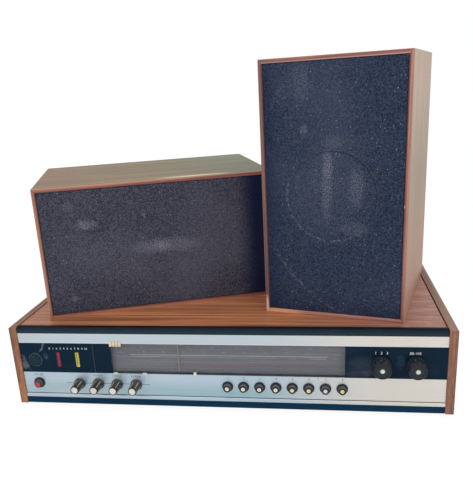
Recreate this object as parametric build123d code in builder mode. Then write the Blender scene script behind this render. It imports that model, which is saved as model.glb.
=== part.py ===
from build123d import *
import math
import os

os.makedirs("parts", exist_ok=True)

# A stereo receiver in a veneered case, with its two loudspeakers standing on top of it.
# The frame's origin is on the surface that the feet stand on, under the middle of the receiver.
# The receiver's front faces -Y. All sizes are in millimetres.

# Receiver case
CASE_WIDTH = 550.0
CASE_DEPTH = 280.0
SIDE_THICK = 10.0
SIDE_HEIGHT = 107.6
SIDE_LIFT = 5.0
TOP_THICK = 7.0
TOP_GAP = 1.8
EDGE_ROUND = 0.8
BATTEN_SIZE = 15.0
BATTEN_FRONT_GAP = 20.0
FOOT_RADIUS = 10.0
FOOT_TAPER = 1.5
FOOT_INSET_X = 35.0
FOOT_INSET_Y = 25.0
BASE_SCREW_INSET_X = 15.0
BASE_SCREW_INSET_Y = 20.0
BASE_LIFT = 6.0
BASE_THICK = 1.5
BACK_RECESS = 6.0
BACK_THICK = 3.0
FIT_GAP = 0.3
HOLE_CLEARANCE = 0.1

# Facia: its levels stack up from the lower edge of the side panels
FACIA_SETBACK = 1.5
PLINTH_HEIGHT = 9.6
PLINTH_SETBACK = 0.4
RAIL_HEIGHT = 4.9
RAIL_GROOVE = 1.0
RAIL_PROUD = 0.8
CONTROL_HEIGHT = 29.9
WINDOW_HEIGHT = 41.1
STRIP_HEIGHT = 13.3
TRIM_RISE = 1.1
TRIM_ROUND = 4.6
STRIP_THICK = 1.5
GLASS_THICK = 2.5
WEB_THICK = 0.8
FRAME_THICK = 6.3
TRIM_DEPTH = 6.5
SEAM = 0.2

# Dial window
DIAL_LEFT = -142.5
DIAL_RIGHT = 148.3
DIAL_BORDER = 1.0
PANEL_SEAM_X = -165.4
POCKET_MARGIN = 8.0
POCKET_DROP = 4.9
POCKET_TOP = 104.0

# Indicator panel at the left of the dial
LENS_WIDTH = 4.6
LENS_HEIGHT = 20.0
LENS_PROUD = 0.5
LENS_ROUND = 1.0
LENS_SEAT = 0.7
RED_LENS_X = -213.0
YELLOW_LENS_X = -187.7
LENS_Z = 68.9
BADGE_X = -244.8
BADGE_Z = 68.3
BADGE_RADIUS = 9.4
BADGE_THICK = 1.3
BADGE_CHAMFER = 0.5
BADGE_RIM = 2.0
BADGE_DISH = 0.4

# Push-buttons and rotary controls on the aluminium plate
CONTROL_Z = 35.3
BUTTON_COUNT = 8
BUTTON_FIRST_X = 5.0
BUTTON_PITCH = 20.0
BUTTON_RADIUS = 4.65
BUTTON_TIP_RADIUS = 2.7
BUTTON_PROUD = 7.5
BUTTON_TRAVEL = 4.5
BUTTON_CLEARANCE = 0.1
BUTTON_CHAMFER = 0.6
TIP_SINK = 0.8
TIP_RISE = 0.3
INSERT_GAP = 0.05
BEZEL_RADIUS = 7.0
BEZEL_PROUD = 1.0
BEZEL_WALL = 0.65
BEZEL_DEPTH = 5.0
BEZEL_CHAMFER = 0.4
POWER_X = -244.6
POWER_BEZEL_RADIUS = 7.5
POWER_PROUD = 6.5
STEM_WIDTH = 3.0
STEM_HEIGHT = 5.0
STEM_LENGTH = 37.0
KNOB_NAMES = ("volume_knob", "balance_knob", "treble_knob", "bass_knob")
KNOB_FIRST_X = -188.8
KNOB_PITCH = 25.3
KNOB_BASE_RADIUS = 7.5
KNOB_TIP_RADIUS = 5.4
KNOB_DISC_RADIUS = 4.2
KNOB_PROUD = 20.0
KNOB_RIBS = 18
KNOB_RIB_DEPTH = 0.45
KNOB_FOOT = 0.5
KNOB_SKIRT = 2.0
KNOB_NECK = 4.0
KNOB_SHOULDER = 1.0
KNOB_CHAMFER = 0.4
KNOB_DISC_SINK = 1.0
KNOB_DISC_RISE = 0.2
KNOB_BORE_WALL = 5.0
PRESS_GAP = 0.02
SPINDLE_RADIUS = 3.0
RUNNING_CLEARANCE = 0.05
SPINDLE_HOLE_RADIUS = 4.0
POT_RADIUS = 8.5
POT_DEPTH = 12.0
POT_BUSH_RADIUS = 4.5
POT_BUSH_LENGTH = 3.5
POT_NUT_RADIUS = 6.5
POT_NUT_THICK = 1.6

# Tuning knobs, their spindles and the dial drive
TUNING_Z = 68.0
AM_KNOB_X = 190.0
FM_KNOB_X = 229.7
TUNING_BASE_RADIUS = 11.5
TUNING_FACE_RADIUS = 10.6
TUNING_PROUD = 17.5
TUNING_FLUTES = 30
TUNING_FLUTE_RADIUS = 0.55
TUNING_FLUTE_START = 2.1
TUNING_DOT_RADIUS = 2.45
TUNING_SKIRT = 1.2
TUNING_NECK = 1.8
TUNING_CHAMFER = 1.0
TUNING_RIM = 2.2
TUNING_DISH = 0.4
TUNING_BOSS = 0.6
TUNING_DOT_SINK = 0.9
TUNING_BORE_WALL = 4.0
BUSH_RADIUS = 5.5
BUSH_LENGTH = 3.5
FLYWHEEL_RADIUS = 18.0
FLYWHEEL_THICK = 8.0
FLYWHEEL_SETBACK = 16.8
FLYWHEEL_CHAMFER = 1.0
SPINDLE_TAIL = 2.0
DRUM_RADIUS = 24.0
DRUM_FLANGE = 1.0
DRUM_WIDTH = 3.0
DRUM_GROOVE = 1.4
DRUM_HUB_RADIUS = 7.0
DRUM_HUB_RISE = 1.0
DRUM_HOLES = 5
DRUM_HOLE_RADIUS = 4.0
DRUM_HOLE_RING = 14.0
AM_DRUM_X = -100.0
AM_DRUM_Z = 75.0
FM_DRUM_X = 70.0
FM_DRUM_Z = 76.0
CORD_RADIUS = 0.4
CORD_GAP = 0.15
PIN_RADIUS = 2.0
PIN_LEFT_X = -162.0
PIN_RIGHT_X = 158.0
PIN_TAIL = 1.0
PIN_FLANGE = 1.0
PIN_FLANGE_THICK = 0.6
RAIL_ROD_RADIUS = 1.25
AM_RAIL_Z = 102.0
FM_RAIL_Z = 47.5
LUG_WIDTH = 4.0
LUG_MARGIN = 2.0
POINTER_WIDTH = 1.2
POINTER_THICK = 0.5
POINTER_ARM = 2.0
CARRIAGE_WIDTH = 12.0
CARRIAGE_HALF_HEIGHT = 1.9
CARRIAGE_WALL = 0.4
CARRIAGE_TAIL = 1.0
CORD_SLOT_HALF = 0.8
AM_POINTER_X = -56.0
FM_POINTER_X = -146.0
POINTER_LOW_X = -146.0
POINTER_TRAVEL = 280.0

# Planes of the dial drive, counted back from the facia
WALL_SETBACK = 10.5
WALL_THICK = 1.2
SCALE_SETBACK = 7.0
SCALE_THICK = 1.0
AM_BLADE_SETBACK = 4.0
FM_BLADE_SETBACK = 5.5
AM_RAIL_SETBACK = 13.7
AM_CORD_SETBACK = 17.0
FM_RAIL_SETBACK = 20.0
FM_CORD_SETBACK = 23.0

# Chassis and what it carries
SHEET = 1.2
CHASSIS_SIDE_GAP = 0.7
FLANGE_HEIGHT = 14.0
REAR_WALL_HEIGHT = 62.0
FRAME_CORE_GAP = 1.0
FRAME_BOSS_RADIUS = 4.0
FRAME_BOSS_X = 252.0
FRAME_BOSS_LEVELS = (14.0, 98.0)
LAMP_RADIUS = 3.0
LAMP_HOLDER_RADIUS = 4.0
LAMP_FLANGE = 1.5
LAMP_DOME = 1.0
LAMP_GAP = 0.4
DIAL_LAMP_PLACES = (-40.0, 20.0, 125.0)
BANK_DEPTH = 46.0
BANK_HEIGHT = 15.0
BANK_MARGIN = 10.5
POWER_BANK_HALF = 7.0
CAPACITOR_SIZE = (60.0, 42.0, 44.0)
CAPACITOR_PLATES = 9
CAPACITOR_END = 2.0
CAPACITOR_PLATE_THICK = 0.8
CAPACITOR_PLATE_INSET = 4.0
CAPACITOR_PLATE_DROP = 6.0
TUNER_SIZE = (56.0, 42.0)
TUNER_TOP = 98.0
TUNER_ROUND = 2.0
DRIVE_GAP = 2.0
TRANSFORMER_X = -200.0
TRANSFORMER_INSET_Y = 80.0
TRANSFORMER_CORE = (72.0, 34.0, 60.0)
TRANSFORMER_COIL = (44.0, 58.0, 40.0)
TRANSFORMER_FOOT = (92.0, 24.0, 2.0)
TRANSFORMER_CHAMFER = 1.5
COIL_ROUND = 6.0
HEAT_SINK_X = 206.0
HEAT_SINK_SIZE = (84.0, 30.0, 44.0)
HEAT_SINK_FINS = 11
HEAT_SINK_PLATE = 4.0
HEAT_SINK_FIN = 2.0
BOARD_THICK = 1.6
BOARD_LIFT = 8.0

# Sockets and screws at the back
SOCKET_RADIUS = 9.0
SOCKET_DEPTH = 18.0
SOCKET_PROUD = 0.8
SOCKET_BORE_RADIUS = 6.8
SOCKET_BORE_DEPTH = 8.0
SOCKET_Z = 38.0
CONTACT_RING = 4.4
CONTACT_RADIUS = 0.8
CONTACT_DEPTH = 4.0
SPEAKER_PIN_RADIUS = 1.3
SPEAKER_PIN_OFFSET = 3.0
SPEAKER_BLADE = (4.6, 1.2)
SIGNAL_SOCKET_PLACES = (40.0, 75.0)
SPEAKER_SOCKET_PLACES = (120.0, 150.0)
GLAND_PLACE = (-215.0, 30.0)
GLAND_RADIUS = 6.0
GLAND_BORE_RADIUS = 3.5
GLAND_LIP = 1.5
GLAND_CHAMFER = 0.8
SCREW_RADIUS = 1.5
SCREW_HEAD_RADIUS = 3.2
SCREW_HEAD_THICK = 1.6
SCREW_LENGTH = 7.0
SCREW_POINT = 1.0
SCREW_SLOT_HALF = 0.4
SCREW_SLOT_DEPTH = 0.8

# Loudspeakers
SPEAKER_WIDTH = 171.0
SPEAKER_HEIGHT = 305.0
SPEAKER_DEPTH = 213.5
SPEAKER_WALL = 4.6
CLOTH_RECESS = 0.6
CLOTH_THICK = 1.2
BAFFLE_THICK = 12.0
CLEAT = 8.0
CLEAT_DEPTH = 14.0
SPEAKER_BACK_THICK = 4.0
SPEAKER_BACK_RECESS = 2.0
LEFT_SPEAKER_CORNER = (-231.1, -109.8)
LEFT_SPEAKER_TURN = 18.5
RIGHT_SPEAKER_CORNER = (217.0, -119.7)
RIGHT_SPEAKER_TURN = -14.1
WOOFER_LEVEL = 148.0
WOOFER_OPENING = 52.0
WOOFER_FLANGE_RADIUS = 61.0
WOOFER_FLANGE_THICK = 2.0
WOOFER_DEPTH = 52.0
CONE_RIM_RADIUS = 44.0
CONE_GAP = 0.4
CONE_THICK = 0.8
CONE_NECK_RADIUS = 12.2
COIL_GAP = 0.5
MAGNET_RADIUS = 36.0
MAGNET_THICK = 16.0
PLATE_THICK = 3.0
PLATE_INSET = 2.0
BASKET_RING = 9.0
BASKET_WALL = 3.0
COIL_SHELL = 2.0
NECK_SETBACK = 4.5
COIL_LENGTH = 12.0
CAP_RISE = 5.0

# Places worked out from the sizes above
HALF_WIDTH = CASE_WIDTH / 2
INNER_HALF = HALF_WIDTH - SIDE_THICK
FRONT = -CASE_DEPTH / 2
BACK = CASE_DEPTH / 2
CASE_TOP = SIDE_LIFT + SIDE_HEIGHT
TRIM_TOP = CASE_TOP + TRIM_RISE
TOP_UNDER = CASE_TOP - TOP_THICK
FACE = FRONT + FACIA_SETBACK
STRIP_BACK = FACE + STRIP_THICK
GLASS_BACK = FACE + GLASS_THICK
FRAME_BACK = FACE + FRAME_THICK
WALL_FRONT = FACE + WALL_SETBACK
WALL_BACK = WALL_FRONT + WALL_THICK
RAIL_LOW = SIDE_LIFT + PLINTH_HEIGHT
RAIL_HIGH = RAIL_LOW + RAIL_HEIGHT
CONTROL_LOW = RAIL_HIGH + RAIL_GROOVE
WINDOW_LOW = CONTROL_LOW + CONTROL_HEIGHT
WINDOW_HIGH = WINDOW_LOW + WINDOW_HEIGHT
WINDOW_MIDDLE = (WINDOW_LOW + WINDOW_HIGH) / 2
STRIP_HIGH = WINDOW_HIGH + STRIP_HEIGHT
FACIA_HALF = INNER_HALF - SEAM
BACK_FACE = BACK - BACK_RECESS
BACK_INNER = BACK_FACE - BACK_THICK
FLOOR_LOW = BASE_LIFT + BASE_THICK
FLOOR_HIGH = FLOOR_LOW + SHEET
CHASSIS_HALF = INNER_HALF - CHASSIS_SIDE_GAP
AM_CORD_Y = FACE + AM_CORD_SETBACK
FM_CORD_Y = FACE + FM_CORD_SETBACK
AM_RAIL_Y = FACE + AM_RAIL_SETBACK
FM_RAIL_Y = FACE + FM_RAIL_SETBACK
SCALE_FRONT = FACE + SCALE_SETBACK
SCALE_BACK = SCALE_FRONT + SCALE_THICK
SPINDLE_CORD_RADIUS = SPINDLE_RADIUS + CORD_RADIUS + CORD_GAP
PIN_CORD_RADIUS = PIN_RADIUS + CORD_RADIUS + CORD_GAP / 3
POINTER_HIGH_X = POINTER_LOW_X + POINTER_TRAVEL
BUTTON_PLACES = [BUTTON_FIRST_X + BUTTON_PITCH * i for i in range(BUTTON_COUNT)]
KNOB_PLACES = [KNOB_FIRST_X + KNOB_PITCH * i for i in range(len(KNOB_NAMES))]
BEZEL_BORE = BUTTON_RADIUS + BUTTON_CLEARANCE
BEZEL_TUBE = BEZEL_BORE + BEZEL_WALL
BANK_LOW = CONTROL_Z - BANK_HEIGHT / 2
BANK_HIGH = CONTROL_Z + BANK_HEIGHT / 2
FLYWHEEL_FRONT = WALL_BACK + FLYWHEEL_SETBACK


def finish(piece, name):
    """Labels a piece and writes its file."""
    piece.part.label = name
    export_step(piece.part, f"parts/{name}.step")


def block(x_span, y_span, z_span, mode=Mode.ADD, base=Plane.XY):
    """A box between two values on each axis of the base plane."""
    spans = (x_span, y_span, z_span)
    centre = tuple((low + high) / 2 for low, high in spans)
    size = [high - low for low, high in spans]
    with Locations(base.location * Location(centre)):
        Box(*size, mode=mode)


def turn(base, outline, mode=Mode.ADD):
    """A turned shape: radius and height along the base plane's normal."""
    side = Plane(origin=base.origin, x_dir=base.x_dir, z_dir=-base.y_dir)
    with BuildSketch(side) as profile:
        with BuildLine():
            Polyline(*outline, close=True)
        make_face()
    revolve(profile.sketch, axis=Axis(base.origin, base.z_dir), mode=mode)


def disc(base, radius, low, high, mode=Mode.ADD):
    """A cylinder along the base plane's normal."""
    turn(base, [(0, low), (radius, low), (radius, high), (0, high)], mode)


def facing(x, y, z):
    """A plane that looks out of the front of the receiver."""
    return Plane(origin=(x, y, z), x_dir=(1, 0, 0), z_dir=(0, -1, 0))


def rearward(x, y, z):
    """A plane that looks out of the back of the receiver."""
    return Plane(origin=(x, y, z), x_dir=(-1, 0, 0), z_dir=(0, 1, 0))


def mirrored(value):
    """The same place on both sides of the middle."""
    return (-value, value)


# Side panels, each with the glued batten that carries the top panel
def make_side(sign, name):
    x_span = sorted((sign * INNER_HALF, sign * HALF_WIDTH))
    batten_span = sorted((sign * (INNER_HALF - BATTEN_SIZE), sign * INNER_HALF))
    batten_x = sum(batten_span) / 2
    batten_z = TOP_UNDER - BATTEN_SIZE / 2
    batten_end = BACK_INNER - FIT_GAP
    with BuildPart() as side:
        block(x_span, (FRONT, BACK), (SIDE_LIFT, CASE_TOP))
        fillet(side.edges().filter_by(Axis.Y), EDGE_ROUND)
        fillet(side.edges().filter_by(Axis.Z), EDGE_ROUND)
        block(batten_span, (FRONT + BATTEN_FRONT_GAP, batten_end), (TOP_UNDER - BATTEN_SIZE, TOP_UNDER))
        pilot = SCREW_RADIUS + RUNNING_CLEARANCE
        disc(rearward(batten_x, batten_end, batten_z), pilot, -SCREW_LENGTH, 0, Mode.SUBTRACT)
    finish(side, name)


make_side(-1, "side_panel_left")
make_side(1, "side_panel_right")

# Top panel, with a dark gap on each side and the facia's rounded edge in front of it
with BuildPart() as top_panel:
    block(mirrored(INNER_HALF - TOP_GAP), (FACE + TRIM_DEPTH + SEAM, BACK), (TOP_UNDER, CASE_TOP))
    fillet(top_panel.edges().filter_by(Axis.X).group_by(Axis.Z)[-1], EDGE_ROUND)
finish(top_panel, "top_panel")

# Feet under the base plate
with BuildPart() as feet:
    for x in mirrored(INNER_HALF - FOOT_INSET_X):
        for y in mirrored(BACK - FOOT_INSET_Y):
            foot_outline = [
                (0, 0),
                (FOOT_RADIUS - FOOT_TAPER, 0),
                (FOOT_RADIUS, BASE_LIFT),
                (0, BASE_LIFT),
            ]
            turn(Plane(origin=(x, y, 0)), foot_outline)
finish(feet, "feet")

BASE_SCREW_X = INNER_HALF - BASE_SCREW_INSET_X
BASE_SCREW_Y = BACK - BASE_SCREW_INSET_Y
VENT_GROUPS_X = (-200.0, 0.0, 190.0)
VENT_INSET_Y = 90.0
VENT_Y = BACK - VENT_INSET_Y
VENT_LENGTH = 60.0
VENT_WIDTH = 4.0
VENT_PITCH = 12.0
VENT_COLUMNS = 7

# Base plate with two rows of cooling slots in each group
with BuildPart() as base_plate:
    block(mirrored(CHASSIS_HALF), (FRAME_BACK + FIT_GAP, BACK_INNER - FIT_GAP), (BASE_LIFT, FLOOR_LOW))
    with BuildSketch(Plane.XY.offset(BASE_LIFT)):
        for x in VENT_GROUPS_X:
            with Locations((x, VENT_Y)):
                with GridLocations(VENT_PITCH, VENT_LENGTH + VENT_PITCH, VENT_COLUMNS, 2):
                    SlotOverall(VENT_LENGTH, VENT_WIDTH, rotation=90)
    extrude(amount=BASE_THICK, mode=Mode.SUBTRACT)
    for x in mirrored(BASE_SCREW_X):
        for y in mirrored(BASE_SCREW_Y):
            base_hole = Plane(origin=(x, y, BASE_LIFT))
            disc(base_hole, SCREW_RADIUS + RUNNING_CLEARANCE, 0, BASE_THICK, Mode.SUBTRACT)
finish(base_plate, "base_plate")

REAR_SCREW_Z = 22.0
REAR_SCREW_INSET = 10.0
REAR_SCREW_COLUMNS = (REAR_SCREW_INSET - INNER_HALF, -80.0, 95.0, INNER_HALF - REAR_SCREW_INSET)
REAR_SCREW_PLACES = [(x, REAR_SCREW_Z) for x in REAR_SCREW_COLUMNS]
BATTEN_SCREW_PLACES = [
    (x, TOP_UNDER - BATTEN_SIZE / 2) for x in mirrored(INNER_HALF - BATTEN_SIZE / 2)
]
SOCKET_PLACES = SIGNAL_SOCKET_PLACES + SPEAKER_SOCKET_PLACES
BACK_VENT_PLACES = ((-120.0, 82.0), (0.0, 82.0), (120.0, 82.0))
BACK_VENT_PITCH = 7.0
BACK_VENT_COUNT = 13
BACK_VENT_SLOT = (26.0, 3.0)

# Back panel with vents, socket holes and the hole for the mains lead's gland
with BuildPart() as back_panel:
    block(mirrored(INNER_HALF - FIT_GAP), (BACK_INNER, BACK_FACE), (BASE_LIFT, TOP_UNDER - FIT_GAP))
    panel_holes = [(x, SOCKET_Z, SOCKET_RADIUS) for x in SOCKET_PLACES]
    panel_holes.append((*GLAND_PLACE, GLAND_RADIUS))
    panel_holes += [(x, z, SCREW_RADIUS) for x, z in REAR_SCREW_PLACES + BATTEN_SCREW_PLACES]
    for x, z, radius in panel_holes:
        disc(rearward(x, BACK_INNER, z), radius + RUNNING_CLEARANCE, 0, BACK_THICK, Mode.SUBTRACT)
    with BuildSketch(Plane.XZ.offset(-BACK_FACE)):
        with Locations(*BACK_VENT_PLACES):
            with GridLocations(BACK_VENT_PITCH, BACK_VENT_PITCH, BACK_VENT_COUNT, 1):
                SlotOverall(*BACK_VENT_SLOT, rotation=90)
    extrude(amount=BACK_THICK, mode=Mode.SUBTRACT)
finish(back_panel, "back_panel")

WALL_HOLES = [(x, CONTROL_Z, POT_BUSH_RADIUS + HOLE_CLEARANCE) for x in KNOB_PLACES]
WALL_HOLES += [(x, TUNING_Z, SPINDLE_RADIUS + RUNNING_CLEARANCE) for x in (AM_KNOB_X, FM_KNOB_X)]
WALL_HOLES += [(x, LENS_Z, LAMP_HOLDER_RADIUS + HOLE_CLEARANCE) for x in (RED_LENS_X, YELLOW_LENS_X)]
WALL_HOLES += [(x, WINDOW_MIDDLE, LAMP_HOLDER_RADIUS + HOLE_CLEARANCE) for x in DIAL_LAMP_PLACES]
CARRIAGE_REACH = (POINTER_LOW_X - CARRIAGE_WIDTH / 2, POINTER_HIGH_X + CARRIAGE_WIDTH / 2)
LEFT_LUG = (CARRIAGE_REACH[0] - LUG_MARGIN - LUG_WIDTH, CARRIAGE_REACH[0] - LUG_MARGIN)
RIGHT_LUG = (CARRIAGE_REACH[1] + LUG_MARGIN, CARRIAGE_REACH[1] + LUG_MARGIN + LUG_WIDTH)
RAIL_LENGTH = RIGHT_LUG[1] - LEFT_LUG[0]
SLOT_SPAN = (CARRIAGE_REACH[0] - LUG_MARGIN / 2, CARRIAGE_REACH[1] + LUG_MARGIN / 2)
LUG_HALF = 2.5
AM_LUG_BACK = AM_RAIL_Y + 2.0
FM_LUG_BACK = FM_RAIL_Y + 1.7
AM_NOTCH_LOW = AM_RAIL_Z - 3.0
FM_SLOT_HALF = 2.1
STEM_SLOT_GAP = 0.5
STAND_PLACES = (FM_CORD_Y + 6.0, FM_CORD_Y + 40.0)
STAND_INSET = 5.0

# Chassis: floor, front wall that carries the controls and the dial drive, and low rear wall
with BuildPart() as chassis:
    block(mirrored(CHASSIS_HALF), (WALL_FRONT, BACK_INNER), (FLOOR_LOW, FLOOR_HIGH))
    block(mirrored(CHASSIS_HALF), (WALL_FRONT, WALL_BACK), (FLOOR_LOW, TOP_UNDER - FIT_GAP))
    block(mirrored(CHASSIS_HALF), (BACK_INNER - SHEET, BACK_INNER), (FLOOR_LOW, FLOOR_LOW + REAR_WALL_HEIGHT))
    for sign in (-1, 1):
        flange = sorted((sign * (CHASSIS_HALF - SHEET), sign * CHASSIS_HALF))
        block(flange, (WALL_FRONT, BACK_INNER), (FLOOR_LOW, FLOOR_LOW + FLANGE_HEIGHT))
    # bushes for the tuning spindles
    for x in (AM_KNOB_X, FM_KNOB_X):
        disc(facing(x, WALL_FRONT, TUNING_Z), BUSH_RADIUS, 0, BUSH_LENGTH)
    # lugs that hold the two pointer rails
    for span in (LEFT_LUG, RIGHT_LUG):
        block(span, (WALL_BACK, AM_LUG_BACK), (AM_RAIL_Z - 2 * LUG_HALF, AM_RAIL_Z + LUG_HALF))
        block(span, (WALL_BACK, FM_LUG_BACK), (FM_RAIL_Z - LUG_HALF, FM_RAIL_Z + LUG_HALF))
    # stand under the tuning capacitor
    for y in STAND_PLACES:
        capacitor_half = CAPACITOR_SIZE[0] / 2 - STAND_INSET
        stand = (AM_DRUM_X - capacitor_half, AM_DRUM_X + capacitor_half)
        block(stand, (y, y + SHEET), (FLOOR_HIGH, AM_DRUM_Z - CAPACITOR_SIZE[2] / 2))
    for x, z, radius in WALL_HOLES:
        disc(facing(x, WALL_BACK, z), radius, 0, WALL_THICK + BUSH_LENGTH, Mode.SUBTRACT)
    for x in BUTTON_PLACES + [POWER_X]:
        half_x = STEM_WIDTH / 2 + STEM_SLOT_GAP
        half_z = STEM_HEIGHT / 2 + STEM_SLOT_GAP
        slot_z = (CONTROL_Z - half_z, CONTROL_Z + half_z)
        block((x - half_x, x + half_x), (WALL_FRONT, WALL_BACK), slot_z, Mode.SUBTRACT)
    # notch and slot that the two pointers reach through
    block(SLOT_SPAN, (WALL_FRONT, WALL_BACK), (AM_NOTCH_LOW, TOP_UNDER), Mode.SUBTRACT)
    fm_slot_z = (FM_RAIL_Z - FM_SLOT_HALF, FM_RAIL_Z + FM_SLOT_HALF)
    block(SLOT_SPAN, (WALL_FRONT, WALL_BACK), fm_slot_z, Mode.SUBTRACT)
    for y, z in ((AM_RAIL_Y, AM_RAIL_Z), (FM_RAIL_Y, FM_RAIL_Z)):
        rail_hole = Plane(origin=(LEFT_LUG[0], y, z), z_dir=(1, 0, 0))
        disc(rail_hole, RAIL_ROD_RADIUS + RUNNING_CLEARANCE, 0, RAIL_LENGTH, Mode.SUBTRACT)
    rear_holes = [(x, SOCKET_Z, SOCKET_RADIUS) for x in SOCKET_PLACES]
    rear_holes.append((*GLAND_PLACE, GLAND_RADIUS + GLAND_LIP))
    rear_holes += [(x, z, SCREW_RADIUS) for x, z in REAR_SCREW_PLACES]
    for x, z, radius in rear_holes:
        disc(rearward(x, BACK_INNER - SHEET, z), radius + RUNNING_CLEARANCE, 0, SHEET, Mode.SUBTRACT)
    for x in mirrored(BASE_SCREW_X):
        for y in mirrored(BASE_SCREW_Y):
            floor_hole = Plane(origin=(x, y, FLOOR_LOW))
            disc(floor_hole, SCREW_RADIUS + RUNNING_CLEARANCE, 0, SHEET, Mode.SUBTRACT)
finish(chassis, "chassis")

# Black moulded facia frame: plinth, seats for the strips, rounded upper edge and dial opening
with BuildPart() as facia_frame:
    with BuildSketch(Plane.YZ.offset(-FACIA_HALF)):
        with BuildLine():
            Polyline(
                (FACE + TRIM_ROUND, TRIM_TOP),
                (FACE + TRIM_DEPTH, TRIM_TOP),
                (FACE + TRIM_DEPTH, TOP_UNDER - FIT_GAP),
                (FRAME_BACK, TOP_UNDER - FIT_GAP),
                (FRAME_BACK, SIDE_LIFT + FIT_GAP),
                (FACE + PLINTH_SETBACK, SIDE_LIFT + FIT_GAP),
                (FACE + PLINTH_SETBACK, RAIL_LOW),
                (STRIP_BACK, RAIL_LOW),
                (STRIP_BACK, WINDOW_LOW),
                (GLASS_BACK, WINDOW_LOW),
                (GLASS_BACK, WINDOW_HIGH),
                (STRIP_BACK, WINDOW_HIGH),
                (STRIP_BACK, STRIP_HIGH),
                (FACE, STRIP_HIGH),
                (FACE, TRIM_TOP - TRIM_ROUND),
            )
            RadiusArc((FACE, TRIM_TOP - TRIM_ROUND), (FACE + TRIM_ROUND, TRIM_TOP), TRIM_ROUND)
        make_face()
    extrude(amount=2 * FACIA_HALF)
    # pocket for the pointers, and the dial opening in the thin web in front of it
    pocket_x = (DIAL_LEFT - POCKET_MARGIN - CARRIAGE_WIDTH / 2, DIAL_RIGHT + POCKET_MARGIN)
    pocket_y = (GLASS_BACK + WEB_THICK, FRAME_BACK)
    block(pocket_x, pocket_y, (WINDOW_LOW - POCKET_DROP, POCKET_TOP), Mode.SUBTRACT)
    dial_z = (WINDOW_LOW + DIAL_BORDER, WINDOW_HIGH - DIAL_BORDER)
    block((DIAL_LEFT, DIAL_RIGHT), (GLASS_BACK, FRAME_BACK), dial_z, Mode.SUBTRACT)
    for x in (RED_LENS_X, YELLOW_LENS_X):
        light_x = (x - LENS_WIDTH / 2 + LENS_SEAT, x + LENS_WIDTH / 2 - LENS_SEAT)
        light_z = (LENS_Z - LENS_HEIGHT / 2 + LENS_SEAT, LENS_Z + LENS_HEIGHT / 2 - LENS_SEAT)
        block(light_x, (GLASS_BACK, FRAME_BACK), light_z, Mode.SUBTRACT)
    frame_holes = [(x, CONTROL_Z, BEZEL_TUBE + RUNNING_CLEARANCE) for x in BUTTON_PLACES + [POWER_X]]
    frame_holes += [(x, CONTROL_Z, POT_NUT_RADIUS + FRAME_CORE_GAP) for x in KNOB_PLACES]
    frame_holes += [(x, TUNING_Z, BUSH_RADIUS + FRAME_CORE_GAP) for x in (AM_KNOB_X, FM_KNOB_X)]
    for x, z, radius in frame_holes:
        disc(facing(x, FRAME_BACK, z), radius, 0, FRAME_THICK, Mode.SUBTRACT)
    # bosses that stand on the chassis wall
    for x in mirrored(FRAME_BOSS_X):
        for z in FRAME_BOSS_LEVELS:
            disc(facing(x, WALL_FRONT, z), FRAME_BOSS_RADIUS, 0, WALL_FRONT - FRAME_BACK)
finish(facia_frame, "facia_frame")

# Aluminium strips on the facia: a narrow rail over the plinth, and one above the window
with BuildPart() as facia_strips:
    block(mirrored(FACIA_HALF), (FACE - RAIL_PROUD, STRIP_BACK), (RAIL_LOW, RAIL_HIGH))
    chamfer(facia_strips.edges().filter_by(Axis.X).group_by(Axis.Y)[0], RAIL_PROUD / 2)
    block(mirrored(FACIA_HALF), (FACE, STRIP_BACK), (WINDOW_HIGH + SEAM / 2, STRIP_HIGH))
finish(facia_strips, "facia_strips")

# Aluminium control plate
with BuildPart() as control_plate:
    block(mirrored(FACIA_HALF), (FACE, STRIP_BACK), (CONTROL_LOW, WINDOW_LOW - SEAM / 2))
    plate_holes = [(x, BEZEL_TUBE + RUNNING_CLEARANCE) for x in BUTTON_PLACES + [POWER_X]]
    plate_holes += [(x, SPINDLE_HOLE_RADIUS) for x in KNOB_PLACES]
    for x, radius in plate_holes:
        disc(facing(x, STRIP_BACK, CONTROL_Z), radius, 0, STRIP_THICK, Mode.SUBTRACT)
finish(control_plate, "control_plate")

# Black panel with the two indicator lenses
with BuildPart() as indicator_panel:
    window_z = (WINDOW_LOW, WINDOW_HIGH)
    block((-FACIA_HALF, PANEL_SEAM_X - SEAM), (FACE, GLASS_BACK), window_z)
    for x in (RED_LENS_X, YELLOW_LENS_X):
        half_x = LENS_WIDTH / 2 + HOLE_CLEARANCE
        half_z = LENS_HEIGHT / 2 + HOLE_CLEARANCE
        hole_z = (LENS_Z - half_z, LENS_Z + half_z)
        block((x - half_x, x + half_x), (FACE, GLASS_BACK), hole_z, Mode.SUBTRACT)
finish(indicator_panel, "indicator_panel")

with BuildPart() as lenses:
    for x in (RED_LENS_X, YELLOW_LENS_X):
        with BuildSketch(Plane.XZ.offset(-GLASS_BACK)):
            with Locations((x, LENS_Z)):
                RectangleRounded(LENS_WIDTH, LENS_HEIGHT, LENS_ROUND)
        extrude(amount=GLASS_THICK + LENS_PROUD)
finish(lenses, "indicator_lenses")

with BuildPart() as badge:
    badge_outline = [
        (0, 0),
        (BADGE_RADIUS, 0),
        (BADGE_RADIUS, BADGE_THICK - BADGE_CHAMFER),
        (BADGE_RADIUS - BADGE_CHAMFER, BADGE_THICK),
        (BADGE_RADIUS - BADGE_RIM, BADGE_THICK),
        (BADGE_RADIUS - BADGE_RIM - BADGE_DISH, BADGE_THICK - BADGE_DISH),
        (0, BADGE_THICK - BADGE_DISH),
    ]
    turn(facing(BADGE_X, FACE, BADGE_Z), badge_outline)
finish(badge, "badge_disc")

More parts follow.
